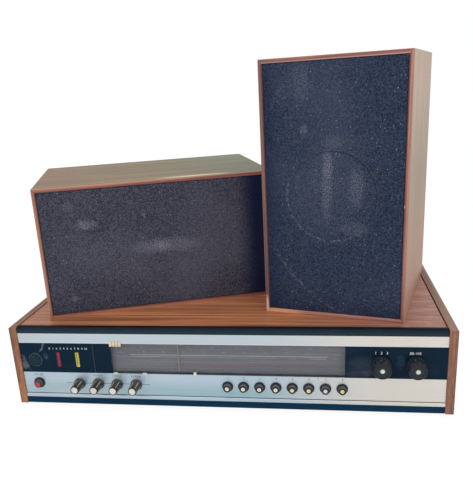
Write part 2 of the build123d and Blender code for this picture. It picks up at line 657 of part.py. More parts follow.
# Clear dial glass, which also covers the black field behind the tuning knobs
with BuildPart() as glass:
    block((PANEL_SEAM_X, FACIA_HALF), (FACE, GLASS_BACK), (WINDOW_LOW, WINDOW_HIGH))
    for x in (AM_KNOB_X, FM_KNOB_X):
        disc(facing(x, GLASS_BACK, TUNING_Z), SPINDLE_HOLE_RADIUS, 0, GLASS_THICK, Mode.SUBTRACT)
finish(glass, "dial_glass")

CLIP_THICK = 1.0
CLIP_SPOTS = ((-35.2, 52.0, 3.6, 4.2), (-100.4, 50.9, 5.5, 2.0), (-138.4, 50.9, 5.5, 2.0))
COMB_LEFT = -143.0
COMB_PITCH = 4.0
COMB_TEETH = 4
COMB_TOOTH_WIDTH = 3.6
COMB_BAR = 3.6
COMB_TOOTH_LENGTH = 3.6

# Small pale clips at the edges of the glass
with BuildPart() as clips:
    for x, z, width, height in CLIP_SPOTS:
        block((x - width / 2, x + width / 2), (FACE - CLIP_THICK, FACE), (z - height / 2, z + height / 2))
    clip_y = (FACE - CLIP_THICK, FACE)
    comb_end = COMB_LEFT + COMB_PITCH * (COMB_TEETH - 1) + COMB_TOOTH_WIDTH
    block((COMB_LEFT, comb_end), clip_y, (WINDOW_HIGH, WINDOW_HIGH + COMB_BAR))
    for i in range(COMB_TEETH):
        tooth = COMB_LEFT + COMB_PITCH * i
        block((tooth, tooth + COMB_TOOTH_WIDTH), clip_y, (WINDOW_HIGH - COMB_TOOTH_LENGTH, WINDOW_HIGH))
finish(clips, "glass_clips")

PILLAR_RADIUS = 2.5
PILLAR_INSET = 8.0
SCALE_HIGH = AM_RAIL_Z - 4.0

# Dial scale on four pillars in front of the chassis wall
with BuildPart() as scale_plate:
    scale_x = (DIAL_LEFT - POCKET_MARGIN, DIAL_RIGHT + POCKET_MARGIN / 2)
    scale_z = (WINDOW_LOW - SEAM, SCALE_HIGH)
    block(scale_x, (SCALE_FRONT, SCALE_BACK), scale_z)
    for x in (scale_x[0] + PILLAR_INSET, scale_x[1] - PILLAR_INSET):
        for z in (scale_z[0] + PILLAR_INSET, scale_z[1] - PILLAR_INSET):
            disc(facing(x, WALL_FRONT, z), PILLAR_RADIUS, 0, WALL_FRONT - SCALE_BACK)
finish(scale_plate, "scale_plate")

# Lamps behind the dial and behind the indicator lenses
with BuildPart() as lamps:
    lamp_places = [(x, WINDOW_MIDDLE, SCALE_BACK + LAMP_GAP) for x in DIAL_LAMP_PLACES]
    lamp_places += [(x, LENS_Z, FRAME_BACK) for x in (RED_LENS_X, YELLOW_LENS_X)]
    for x, z, tip in lamp_places:
        reach = WALL_BACK - tip
        lamp_outline = [
            (0, -LAMP_FLANGE),
            (LAMP_HOLDER_RADIUS + LAMP_FLANGE, -LAMP_FLANGE),
            (LAMP_HOLDER_RADIUS + LAMP_FLANGE, 0),
            (LAMP_HOLDER_RADIUS, 0),
            (LAMP_HOLDER_RADIUS, WALL_THICK),
            (LAMP_RADIUS, WALL_THICK),
            (LAMP_RADIUS, reach - LAMP_DOME),
            (LAMP_RADIUS / 2, reach),
            (0, reach),
        ]
        turn(facing(x, WALL_BACK, z), lamp_outline)
finish(lamps, "dial_lamps")

# Black collars that the push-buttons slide in
with BuildPart() as bezels:
    bezel_places = [(x, BEZEL_RADIUS) for x in BUTTON_PLACES] + [(POWER_X, POWER_BEZEL_RADIUS)]
    for x, radius in bezel_places:
        bezel_outline = [
            (BEZEL_BORE, -BEZEL_DEPTH),
            (BEZEL_TUBE, -BEZEL_DEPTH),
            (BEZEL_TUBE, 0),
            (radius, 0),
            (radius, BEZEL_PROUD - BEZEL_CHAMFER),
            (radius - BEZEL_CHAMFER, BEZEL_PROUD),
            (BEZEL_BORE, BEZEL_PROUD),
        ]
        turn(facing(x, FACE, CONTROL_Z), bezel_outline)
finish(bezels, "button_bezels")


# Push-buttons: a cap with a coloured tip, on the flat stem of its switch
def make_button(name, x, proud):
    axis = facing(x, FACE, CONTROL_Z)
    cap_rear = -(WALL_SETBACK - BUTTON_TRAVEL - STEM_SLOT_GAP)
    tip_seat = proud - TIP_SINK
    with BuildPart() as button:
        cap_outline = [
            (0, cap_rear),
            (BUTTON_RADIUS, cap_rear),
            (BUTTON_RADIUS, proud - BUTTON_CHAMFER),
            (BUTTON_RADIUS - BUTTON_CHAMFER, proud),
            (BUTTON_TIP_RADIUS + INSERT_GAP, proud),
            (BUTTON_TIP_RADIUS + INSERT_GAP, tip_seat),
            (0, tip_seat),
        ]
        turn(axis, cap_outline)
        stem_y = (FACE - cap_rear, FACE - cap_rear + STEM_LENGTH)
        stem_z = (CONTROL_Z - STEM_HEIGHT / 2, CONTROL_Z + STEM_HEIGHT / 2)
        block((x - STEM_WIDTH / 2, x + STEM_WIDTH / 2), stem_y, stem_z)
        disc(axis, BUTTON_TIP_RADIUS, tip_seat + INSERT_GAP, proud + TIP_RISE)
    finish(button, name)


for number, place in enumerate(BUTTON_PLACES, start=1):
    make_button(f"push_button_{number}", place, BUTTON_PROUD)
make_button("power_button", POWER_X, POWER_PROUD)

# Push-button switch bank with its stem channels, and the mains switch beside it
with BuildPart() as switch_bank:
    bank_y = (WALL_BACK, WALL_BACK + BANK_DEPTH)
    block((BUTTON_PLACES[0] - BANK_MARGIN, BUTTON_PLACES[-1] + BANK_MARGIN), bank_y, (BANK_LOW, BANK_HIGH))
    block((POWER_X - POWER_BANK_HALF, POWER_X + POWER_BANK_HALF), bank_y, (BANK_LOW, BANK_HIGH))
    for x in BUTTON_PLACES + [POWER_X]:
        channel_x = (x - STEM_WIDTH / 2 - BUTTON_CLEARANCE, x + STEM_WIDTH / 2 + BUTTON_CLEARANCE)
        half_height = STEM_HEIGHT / 2 + BUTTON_CLEARANCE
        block(channel_x, bank_y, (CONTROL_Z - half_height, CONTROL_Z + half_height), Mode.SUBTRACT)
finish(switch_bank, "switch_bank")

# Potentiometers: bush through the wall, nut in front of it, body behind
with BuildPart() as potentiometers:
    for x in KNOB_PLACES:
        nut_low = WALL_THICK
        pot_outline = [
            (0, -POT_DEPTH),
            (POT_RADIUS, -POT_DEPTH),
            (POT_RADIUS, 0),
            (POT_BUSH_RADIUS, 0),
            (POT_BUSH_RADIUS, nut_low),
            (POT_NUT_RADIUS, nut_low),
            (POT_NUT_RADIUS, nut_low + POT_NUT_THICK),
            (POT_BUSH_RADIUS, nut_low + POT_NUT_THICK),
            (POT_BUSH_RADIUS, nut_low + POT_BUSH_LENGTH),
            (SPINDLE_RADIUS + RUNNING_CLEARANCE, nut_low + POT_BUSH_LENGTH),
            (SPINDLE_RADIUS + RUNNING_CLEARANCE, -POT_DEPTH / 2 - FIT_GAP),
            (0, -POT_DEPTH / 2 - FIT_GAP),
        ]
        turn(facing(x, WALL_BACK, CONTROL_Z), pot_outline)
finish(potentiometers, "potentiometers")


# Rotary controls: a ribbed, tapered knob with a pale disc in its end, on a spindle
def make_knob(name, x):
    axis = facing(x, FACE, CONTROL_Z)
    bore = SPINDLE_RADIUS + PRESS_GAP
    bore_end = KNOB_PROUD - KNOB_BORE_WALL
    disc_seat = KNOB_PROUD - KNOB_DISC_SINK
    neck_radius = KNOB_BASE_RADIUS - KNOB_SHOULDER
    neck_height = KNOB_FOOT + KNOB_NECK
    with BuildPart() as knob:
        knob_outline = [
            (bore, KNOB_FOOT),
            (KNOB_BASE_RADIUS, KNOB_FOOT),
            (KNOB_BASE_RADIUS, KNOB_FOOT + KNOB_SKIRT),
            (neck_radius, neck_height),
            (KNOB_TIP_RADIUS, KNOB_PROUD - KNOB_CHAMFER),
            (KNOB_TIP_RADIUS - KNOB_CHAMFER, KNOB_PROUD),
            (KNOB_DISC_RADIUS + INSERT_GAP, KNOB_PROUD),
            (KNOB_DISC_RADIUS + INSERT_GAP, disc_seat),
            (0, disc_seat),
            (0, bore_end),
            (bore, bore_end),
        ]
        turn(axis, knob_outline)
        lean = (neck_radius - KNOB_TIP_RADIUS) / (KNOB_PROUD - neck_height)
        for i in range(KNOB_RIBS):
            angle = 2 * math.pi * i / KNOB_RIBS
            out_x, out_z = math.cos(angle), math.sin(angle)
            start = (x + neck_radius * out_x, FACE - neck_height, CONTROL_Z + neck_radius * out_z)
            groove = Plane(origin=start, z_dir=(-lean * out_x, -1, -lean * out_z))
            disc(groove, KNOB_RIB_DEPTH, 0, KNOB_PROUD, Mode.SUBTRACT)
        spindle_end = -(WALL_SETBACK + WALL_THICK + POT_DEPTH / 2)
        disc(axis, SPINDLE_RADIUS, spindle_end, bore_end - PRESS_GAP)
        disc(axis, KNOB_DISC_RADIUS, disc_seat + INSERT_GAP, KNOB_PROUD + KNOB_DISC_RISE)
    finish(knob, name)


for name, place in zip(KNOB_NAMES, KNOB_PLACES):
    make_knob(name, place)


# Tuning controls: a large fluted knob and a flywheel on one spindle
def make_tuning_knob(name, x):
    axis = facing(x, FACE, TUNING_Z)
    bore = SPINDLE_RADIUS + PRESS_GAP
    bore_end = TUNING_PROUD - TUNING_BORE_WALL
    dish = TUNING_PROUD - TUNING_DISH
    dot_seat = TUNING_PROUD - TUNING_DOT_SINK
    rim_inner = TUNING_FACE_RADIUS - TUNING_RIM
    flywheel_high = -(FLYWHEEL_FRONT - FACE)
    flywheel_low = flywheel_high - FLYWHEEL_THICK
    with BuildPart() as knob:
        knob_outline = [
            (bore, KNOB_FOOT),
            (TUNING_BASE_RADIUS, KNOB_FOOT),
            (TUNING_BASE_RADIUS, KNOB_FOOT + TUNING_SKIRT),
            (TUNING_FACE_RADIUS, KNOB_FOOT + TUNING_NECK),
            (TUNING_FACE_RADIUS, TUNING_PROUD - TUNING_CHAMFER),
            (TUNING_FACE_RADIUS - TUNING_CHAMFER, TUNING_PROUD),
            (rim_inner, TUNING_PROUD),
            (rim_inner - TUNING_DISH, dish),
            (TUNING_DOT_RADIUS + TUNING_BOSS, dish),
            (TUNING_DOT_RADIUS + INSERT_GAP, TUNING_PROUD),
            (TUNING_DOT_RADIUS + INSERT_GAP, dot_seat),
            (0, dot_seat),
            (0, bore_end),
            (bore, bore_end),
        ]
        turn(axis, knob_outline)
        with BuildSketch(facing(x, FACE - KNOB_FOOT - TUNING_FLUTE_START, TUNING_Z)):
            with PolarLocations(TUNING_FACE_RADIUS + TUNING_FLUTE_RADIUS / 2, TUNING_FLUTES):
                Circle(TUNING_FLUTE_RADIUS)
        extrude(amount=TUNING_PROUD, mode=Mode.SUBTRACT)
        disc(axis, SPINDLE_RADIUS, flywheel_low - SPINDLE_TAIL, bore_end - PRESS_GAP)
        disc(axis, TUNING_DOT_RADIUS, dot_seat + INSERT_GAP, TUNING_PROUD)
        flywheel_outline = [
            (0, flywheel_low),
            (FLYWHEEL_RADIUS - FLYWHEEL_CHAMFER, flywheel_low),
            (FLYWHEEL_RADIUS, flywheel_low + FLYWHEEL_CHAMFER),
            (FLYWHEEL_RADIUS, flywheel_high - FLYWHEEL_CHAMFER),
            (FLYWHEEL_RADIUS - FLYWHEEL_CHAMFER, flywheel_high),
            (0, flywheel_high),
        ]
        turn(axis, flywheel_outline)
    finish(knob, name)


make_tuning_knob("am_tuning_knob", AM_KNOB_X)
make_tuning_knob("fm_tuning_knob", FM_KNOB_X)


# Cord drums, each on the shaft of what it tunes
def make_drum(name, x, z, cord_y, shaft_end):
    axis = facing(x, cord_y, z)
    half = DRUM_WIDTH / 2
    groove = DRUM_GROOVE / 2
    rim = DRUM_RADIUS + DRUM_FLANGE
    floor_radius = DRUM_RADIUS - CORD_RADIUS - CORD_GAP
    with BuildPart() as drum:
        drum_outline = [
            (0, -half),
            (rim, -half),
            (rim, -groove),
            (floor_radius, -groove),
            (floor_radius, groove),
            (rim, groove),
            (rim, half),
            (0, half),
        ]
        turn(axis, drum_outline)
        with BuildSketch(facing(x, cord_y + half, z)):
            with PolarLocations(DRUM_HOLE_RING, DRUM_HOLES):
                Circle(DRUM_HOLE_RADIUS)
        extrude(amount=DRUM_WIDTH, mode=Mode.SUBTRACT)
        disc(axis, DRUM_HUB_RADIUS, -half, half + DRUM_HUB_RISE / 2)
        disc(axis, SPINDLE_RADIUS, cord_y - shaft_end, 0)
    finish(drum, name)


UNIT_FRONT = FM_CORD_Y + DRUM_WIDTH / 2 + DRIVE_GAP
SHAFT_REACH = 12.0
make_drum("am_drum", AM_DRUM_X, AM_DRUM_Z, AM_CORD_Y, UNIT_FRONT + SHAFT_REACH)
make_drum("fm_drum", FM_DRUM_X, FM_DRUM_Z, FM_CORD_Y, UNIT_FRONT + SHAFT_REACH)

# Tuning capacitor: a frame with a stack of plates, and the bore that the drum's shaft runs in
with BuildPart() as capacitor:
    length, depth, height = CAPACITOR_SIZE
    cap_x = (AM_DRUM_X - length / 2, AM_DRUM_X + length / 2)
    cap_z = (AM_DRUM_Z - height / 2, AM_DRUM_Z + height / 2)
    cap_y = (UNIT_FRONT, UNIT_FRONT + depth)
    front_boss = SHAFT_REACH + CAPACITOR_END
    block(cap_x, cap_y, (cap_z[0], cap_z[0] + CAPACITOR_END))
    block(cap_x, (cap_y[0], cap_y[0] + front_boss), cap_z)
    block(cap_x, (cap_y[1] - CAPACITOR_END, cap_y[1]), cap_z)
    plate_x = (cap_x[0] + CAPACITOR_PLATE_INSET, cap_x[1] - CAPACITOR_PLATE_INSET)
    plate_z = (cap_z[0], cap_z[1] - CAPACITOR_PLATE_DROP)
    plate_pitch = (depth - front_boss - 2 * CAPACITOR_END) / CAPACITOR_PLATES
    for i in range(CAPACITOR_PLATES):
        plate_y = cap_y[0] + front_boss + CAPACITOR_END + plate_pitch * i
        block(plate_x, (plate_y, plate_y + CAPACITOR_PLATE_THICK), plate_z)
    shaft_bore = facing(AM_DRUM_X, UNIT_FRONT + SHAFT_REACH + FIT_GAP, AM_DRUM_Z)
    disc(shaft_bore, SPINDLE_RADIUS + RUNNING_CLEARANCE, 0, SHAFT_REACH + FIT_GAP, Mode.SUBTRACT)
finish(capacitor, "am_capacitor")

# Screened FM tuner box on top of the switch bank
with BuildPart() as tuner:
    tuner_x = (FM_DRUM_X - TUNER_SIZE[0] / 2, FM_DRUM_X + TUNER_SIZE[0] / 2)
    block(tuner_x, (UNIT_FRONT, UNIT_FRONT + TUNER_SIZE[1]), (BANK_HIGH, TUNER_TOP))
    fillet(tuner.edges().filter_by(Axis.Z), TUNER_ROUND)
    shaft_bore = facing(FM_DRUM_X, UNIT_FRONT + SHAFT_REACH + FIT_GAP, FM_DRUM_Z)
    disc(shaft_bore, SPINDLE_RADIUS + RUNNING_CLEARANCE, 0, SHAFT_REACH + FIT_GAP, Mode.SUBTRACT)
finish(tuner, "fm_tuner_box")

# Pointer rails and the grooved pins that turn the dial cords
with BuildPart() as rails:
    for y, z in ((AM_RAIL_Y, AM_RAIL_Z), (FM_RAIL_Y, FM_RAIL_Z)):
        rail_start = Plane(origin=(LEFT_LUG[0], y, z), z_dir=(1, 0, 0))
        disc(rail_start, RAIL_ROD_RADIUS, 0, RAIL_LENGTH)
    am_pin_z = AM_RAIL_Z - PIN_CORD_RADIUS
    fm_pin_z = FM_RAIL_Z + PIN_CORD_RADIUS
    for z, cord_y in ((am_pin_z, AM_CORD_Y), (fm_pin_z, FM_CORD_Y)):
        reach = cord_y + PIN_TAIL + CORD_RADIUS - WALL_BACK
        for x in (PIN_LEFT_X, PIN_RIGHT_X):
            disc(rearward(x, WALL_BACK, z), PIN_RADIUS, 0, reach)
            disc(rearward(x, WALL_BACK, z), PIN_RADIUS + PIN_FLANGE, reach - PIN_FLANGE_THICK, reach)
finish(rails, "pointer_rails")


# Pointers: a blade in front of the scale on an arm from a carriage that slides on its rail
def make_pointer(name, x, rail, cord_y, blade_y, blade_z, arm_z):
    rail_y, rail_z = rail
    carriage_y = (rail_y - RAIL_ROD_RADIUS - CARRIAGE_WALL, cord_y + CARRIAGE_TAIL)
    half = CARRIAGE_WIDTH / 2
    with BuildPart() as pointer:
        carriage_z = (rail_z - CARRIAGE_HALF_HEIGHT, rail_z + CARRIAGE_HALF_HEIGHT)
        block((x - half, x + half), carriage_y, carriage_z)
        arm = (x - POINTER_ARM, x + POINTER_ARM)
        block(arm, (blade_y, carriage_y[0] + CARRIAGE_WALL), arm_z)
        block((x - POINTER_WIDTH / 2, x + POINTER_WIDTH / 2), (blade_y, blade_y + POINTER_THICK), blade_z)
        bore = Plane(origin=(x - half, rail_y, rail_z), z_dir=(1, 0, 0))
        disc(bore, RAIL_ROD_RADIUS + RUNNING_CLEARANCE, 0, CARRIAGE_WIDTH, Mode.SUBTRACT)
        groove_y = (cord_y - CORD_SLOT_HALF, cord_y + CARRIAGE_TAIL)
        groove_z = (rail_z - CORD_SLOT_HALF, rail_z + CORD_SLOT_HALF)
        block((x - half, x + half), groove_y, groove_z, Mode.SUBTRACT)
    finish(pointer, name)


BLADE_HIGH = WINDOW_HIGH - 1.8
BLADE_LOW = WINDOW_LOW + 1.6
AM_ARM_Z = (AM_RAIL_Z - 1.6, AM_RAIL_Z - 0.1)
FM_ARM_Z = (FM_RAIL_Z - 0.9, FM_RAIL_Z + 0.9)
AM_RAIL = (AM_RAIL_Y, AM_RAIL_Z)
FM_RAIL = (FM_RAIL_Y, FM_RAIL_Z)
AM_BLADE_Y = FACE + AM_BLADE_SETBACK
FM_BLADE_Y = FACE + FM_BLADE_SETBACK
make_pointer("am_pointer", AM_POINTER_X, AM_RAIL, AM_CORD_Y, AM_BLADE_Y, (BLADE_LOW, AM_ARM_Z[1]), AM_ARM_Z)
make_pointer("fm_pointer", FM_POINTER_X, FM_RAIL, FM_CORD_Y, FM_BLADE_Y, (FM_ARM_Z[0], BLADE_HIGH), FM_ARM_Z)


# Dial cords: a closed loop of straight runs and arcs round the wheels, seen from the front
def cord_loop(cord_y, wheels):
    tangents = []
    for index, (x, z, radius) in enumerate(wheels):
        next_x, next_z, next_radius = wheels[(index + 1) % len(wheels)]
        span = math.hypot(next_x - x, next_z - z)
        heading = math.atan2(next_z - z, next_x - x)
        normal = heading - math.pi / 2 + math.asin((radius - next_radius) / span)
        start = (x + radius * math.cos(normal), z + radius * math.sin(normal))
        end = (next_x + next_radius * math.cos(normal), next_z + next_radius * math.sin(normal))
        tangents.append((start, end, normal))
    with BuildLine(Plane.XZ.offset(-cord_y)) as route:
        for index, (start, end, normal) in enumerate(tangents):
            x, z, radius = wheels[(index + 1) % len(wheels)]
            following = tangents[(index + 1) % len(wheels)]
            wrap = (following[2] - normal) % (2 * math.pi)
            middle = normal + wrap / 2
            Line(start, end)
            crown = (x + radius * math.cos(middle), z + radius * math.sin(middle))
            ThreePointArc(end, crown, following[0])
    start, end, normal = tangents[0]
    heading = Vector(end[0] - start[0], 0, end[1] - start[1])
    section_plane = Plane(origin=(start[0], cord_y, start[1]), z_dir=heading)
    with BuildSketch(section_plane) as section:
        Circle(CORD_RADIUS)
    sweep(section.sketch, path=route.wires()[0])


with BuildPart() as am_cord:
    am_wheels = [
        (AM_DRUM_X, AM_DRUM_Z, DRUM_RADIUS),
        (AM_KNOB_X, TUNING_Z, SPINDLE_CORD_RADIUS),
        (PIN_RIGHT_X, am_pin_z, PIN_CORD_RADIUS),
        (PIN_LEFT_X, am_pin_z, PIN_CORD_RADIUS),
    ]
    cord_loop(AM_CORD_Y, am_wheels)

with BuildPart() as dial_cords:
    fm_wheels = [
        (PIN_LEFT_X, fm_pin_z, PIN_CORD_RADIUS),
        (PIN_RIGHT_X, fm_pin_z, PIN_CORD_RADIUS),
        (FM_KNOB_X, TUNING_Z, SPINDLE_CORD_RADIUS),
        (FM_DRUM_X, FM_DRUM_Z, DRUM_RADIUS),
    ]
    cord_loop(FM_CORD_Y, fm_wheels)
    add(am_cord.part)
finish(dial_cords, "dial_cords")

# Mains transformer: laminated core with mounting feet, and its winding
with BuildPart() as transformer:
    core_x, core_y, core_z = TRANSFORMER_CORE
    coil_x, coil_y, coil_z = TRANSFORMER_COIL
    foot_x, foot_y, foot_z = TRANSFORMER_FOOT
    base = Plane(origin=(TRANSFORMER_X, BACK - TRANSFORMER_INSET_Y, FLOOR_HIGH))
    block(mirrored(core_x / 2), mirrored(core_y / 2), (0, core_z), base=base)
    chamfer(transformer.edges().filter_by(Axis.Y), TRANSFORMER_CHAMFER)
    coil_span = ((core_z - coil_z) / 2, (core_z + coil_z) / 2)
    block(mirrored(coil_x / 2), mirrored(coil_y / 2), coil_span, base=base)
    fillet(transformer.edges().filter_by(Axis.Z).group_by(Axis.Y)[0], COIL_ROUND)
    fillet(transformer.edges().filter_by(Axis.Z).group_by(Axis.Y)[-1], COIL_ROUND)
    block(mirrored(foot_x / 2), mirrored(foot_y / 2), (0, foot_z), base=base)
finish(transformer, "mains_transformer")

# Heat sink with upright fins, against the rear wall
with BuildPart() as heat_sink:
    sink_width, sink_depth, sink_height = HEAT_SINK_SIZE
    base = Plane(origin=(HEAT_SINK_X, BACK_INNER - SHEET, FLOOR_HIGH))
    block(mirrored(sink_width / 2), (-HEAT_SINK_PLATE, 0), (0, sink_height), base=base)
    fin_pitch = (sink_width - HEAT_SINK_FIN) / (HEAT_SINK_FINS - 1)
    for i in range(HEAT_SINK_FINS):
        fin_x = fin_pitch * i - sink_width / 2
        block((fin_x, fin_x + HEAT_SINK_FIN), (-sink_depth, 0), (0, sink_height), base=base)
finish(heat_sink, "heat_sink")

BOARD_SPANS_X = ((-150.0, -20.0), (-5.0, 130.0))
BOARD_INSET_Y = 50.0
BOARD_LENGTH = 125.0
BOARD_SPAN_Y = (BACK - BOARD_INSET_Y - BOARD_LENGTH, BACK - BOARD_INSET_Y)
BOARD_LOW = FLOOR_HIGH + BOARD_LIFT
BOARD_TOP = BOARD_LOW + BOARD_THICK
SPACER_RADIUS = 3.0
SPACER_INSET = 6.0
PART_PITCH = (26.0, 30.0)
COIL_CAN = (11.0, 11.0, 12.0)
ELECTROLYTIC_RADIUS = 6.5
ELECTROLYTIC_HEIGHT = 18.0

# Circuit boards on spacers, with their larger components
with BuildPart() as boards:
    for x_span in BOARD_SPANS_X:
        block(x_span, BOARD_SPAN_Y, (BOARD_LOW, BOARD_TOP))
        middle_x = sum(x_span) / 2
        middle_y = sum(BOARD_SPAN_Y) / 2
        spacer_x = x_span[1] - x_span[0] - 2 * SPACER_INSET
        spacer_y = BOARD_LENGTH - 2 * SPACER_INSET
        with Locations((middle_x, middle_y, FLOOR_HIGH + BOARD_LIFT / 2)):
            with GridLocations(spacer_x, spacer_y, 2, 2):
                Cylinder(SPACER_RADIUS, BOARD_LIFT)
        with Locations((middle_x, middle_y, BOARD_TOP + COIL_CAN[2] / 2)):
            with GridLocations(*PART_PITCH, 4, 3):
                Box(*COIL_CAN)
        with Locations((middle_x, middle_y + PART_PITCH[1] / 2, BOARD_TOP + ELECTROLYTIC_HEIGHT / 2)):
            with GridLocations(*PART_PITCH, 3, 2):
                Cylinder(ELECTROLYTIC_RADIUS, ELECTROLYTIC_HEIGHT)
finish(boards, "circuit_boards")

# Sockets at the back, with the gland that the mains lead enters through
with BuildPart() as sockets:
    mouth = BACK_FACE + SOCKET_PROUD
    for x in SOCKET_PLACES:
        disc(rearward(x, mouth, SOCKET_Z), SOCKET_RADIUS, -SOCKET_DEPTH, 0)
    for x in SIGNAL_SOCKET_PLACES:
        disc(rearward(x, mouth, SOCKET_Z), SOCKET_BORE_RADIUS, -SOCKET_BORE_DEPTH, 0, Mode.SUBTRACT)
        with BuildSketch(rearward(x, mouth - SOCKET_BORE_DEPTH, SOCKET_Z)):
            with PolarLocations(CONTACT_RING, 5, start_angle=180.0, angular_range=180.0, endpoint=True):
                Circle(CONTACT_RADIUS)
        extrude(amount=-CONTACT_DEPTH, mode=Mode.SUBTRACT)
    for x in SPEAKER_SOCKET_PLACES:
        with BuildSketch(rearward(x, mouth, SOCKET_Z)):
            with Locations((0, SPEAKER_PIN_OFFSET)):
                Circle(SPEAKER_PIN_RADIUS)
            with Locations((0, -SPEAKER_PIN_OFFSET)):
                Rectangle(*SPEAKER_BLADE)
        extrude(amount=-SOCKET_BORE_DEPTH, mode=Mode.SUBTRACT)
    gland_outline = [
        (GLAND_BORE_RADIUS, -BACK_THICK - GLAND_LIP),
        (GLAND_RADIUS + GLAND_LIP - HOLE_CLEARANCE, -BACK_THICK - GLAND_LIP),
        (GLAND_RADIUS + GLAND_LIP - HOLE_CLEARANCE, -BACK_THICK),
        (GLAND_RADIUS, -BACK_THICK),
        (GLAND_RADIUS, 0),
        (GLAND_RADIUS + GLAND_LIP, 0),
        (GLAND_RADIUS + GLAND_LIP - GLAND_CHAMFER, GLAND_LIP),
        (GLAND_BORE_RADIUS, GLAND_LIP),
    ]
    turn(rearward(GLAND_PLACE[0], BACK_FACE, GLAND_PLACE[1]), gland_outline)
finish(sockets, "rear_sockets")


def screw(base, length):
    """A round-headed screw with a slot, its head outside the base plane."""
    outline = [
        (0, -length),
        (SCREW_RADIUS - SCREW_POINT / 2, -length),
        (SCREW_RADIUS, SCREW_POINT - length),
        (SCREW_RADIUS, 0),
        (SCREW_HEAD_RADIUS, 0),
        (SCREW_HEAD_RADIUS - SCREW_HEAD_THICK / 2, SCREW_HEAD_THICK),
        (0, SCREW_HEAD_THICK),
    ]
    turn(base, outline)
    slot_z = (SCREW_HEAD_THICK - SCREW_SLOT_DEPTH, SCREW_HEAD_THICK)
    block(mirrored(SCREW_HEAD_RADIUS), mirrored(SCREW_SLOT_HALF), slot_z, Mode.SUBTRACT, base)


# Screws of the back panel and of the base plate
with BuildPart() as screws:
    for x, z in REAR_SCREW_PLACES + BATTEN_SCREW_PLACES:
        screw(rearward(x, BACK_FACE, z), SCREW_LENGTH)
    for x in mirrored(BASE_SCREW_X):
        for y in mirrored(BASE_SCREW_Y):
            screw(Plane(origin=(x, y, BASE_LIFT), z_dir=(0, 0, -1)), SCREW_LENGTH)
finish(screws, "case_screws")


# Loudspeakers: each has its own base plane at the middle of the front's lower edge,
# with X across the front, Y into the cabinet and Z up its height
def turned_axes(angle):
    across = Vector(math.cos(math.radians(angle)), math.sin(math.radians(angle)), 0)
    inward = Vector(-across.Y, across.X, 0)
    return across, inward


def lying_base():
    """The left speaker lies on its side, its height along the top of the receiver."""
    across, _ = turned_axes(LEFT_SPEAKER_TURN)
    origin = Vector(*LEFT_SPEAKER_CORNER, CASE_TOP + SPEAKER_WIDTH / 2)
    return Plane(origin=origin, x_dir=(0, 0, -1), z_dir=across)


def standing_base():
    """The right speaker stands upright."""
    across, _ = turned_axes(RIGHT_SPEAKER_TURN)
    corner = Vector(*RIGHT_SPEAKER_CORNER, CASE_TOP)
    return Plane(origin=corner - across * (SPEAKER_WIDTH / 2), x_dir=across, z_dir=(0, 0, 1))


def woofer_axis(base):
    """The axis of the driver, into the cabinet, from the plane of the speaker's front."""
    centre = base.from_local_coords(Vector(0, 0, WOOFER_LEVEL))
    return Plane(origin=centre, x_dir=base.x_dir, z_dir=base.y_dir)


SPEAKER_HALF = SPEAKER_WIDTH / 2
CAVITY_HALF = SPEAKER_HALF - SPEAKER_WALL
CAVITY_Z = (SPEAKER_WALL, SPEAKER_HEIGHT - SPEAKER_WALL)
CLEAT_Z = (CAVITY_Z[0] + CLEAT, CAVITY_Z[1] - CLEAT)
CLOTH_BACK = CLOTH_RECESS + CLOTH_THICK
BAFFLE_BACK = CLOTH_BACK + BAFFLE_THICK
SPEAKER_BACK_FACE = SPEAKER_DEPTH - SPEAKER_BACK_RECESS
SPEAKER_BACK_INNER = SPEAKER_BACK_FACE - SPEAKER_BACK_THICK
LEAD_HOLE_RADIUS = 2.0
LEAD_HOLE_Z = 40.0
LEAD_BOSS_WALL = 3.0
ROLL_WIDTH = 4.6


def make_cabinet(base, name):
    with BuildPart() as cabinet:
        block(mirrored(SPEAKER_HALF), (0, SPEAKER_DEPTH), (0, SPEAKER_HEIGHT), base=base)
        fillet(cabinet.edges(), EDGE_ROUND / 2)
        inner = mirrored(CAVITY_HALF)
        narrow = mirrored(CAVITY_HALF - CLEAT)
        front_cleat = BAFFLE_BACK + CLEAT_DEPTH
        rear_cleat = SPEAKER_BACK_INNER - CLEAT_DEPTH
        block(inner, (0, BAFFLE_BACK), CAVITY_Z, Mode.SUBTRACT, base)
        block(narrow, (BAFFLE_BACK, SPEAKER_BACK_INNER), CLEAT_Z, Mode.SUBTRACT, base)
        block(inner, (front_cleat, rear_cleat), CAVITY_Z, Mode.SUBTRACT, base)
        block(inner, (SPEAKER_BACK_INNER, SPEAKER_DEPTH), CAVITY_Z, Mode.SUBTRACT, base)
    finish(cabinet, name)


def make_speaker_back(base, name):
    half = CAVITY_HALF - FIT_GAP
    with BuildPart() as back:
        panel_z = (CAVITY_Z[0] + FIT_GAP, CAVITY_Z[1] - FIT_GAP)
        block(mirrored(half), (SPEAKER_BACK_INNER, SPEAKER_BACK_FACE), panel_z, base=base)
        # boss that the speaker's lead comes out of
        centre = base.from_local_coords(Vector(0, SPEAKER_BACK_FACE, LEAD_HOLE_Z))
        boss = Plane(origin=centre, x_dir=base.x_dir, z_dir=base.y_dir)
        disc(boss, LEAD_HOLE_RADIUS + LEAD_BOSS_WALL, 0, SPEAKER_BACK_RECESS - FIT_GAP)
        disc(boss, LEAD_HOLE_RADIUS, -SPEAKER_BACK_THICK, SPEAKER_BACK_RECESS, Mode.SUBTRACT)
    finish(back, name)


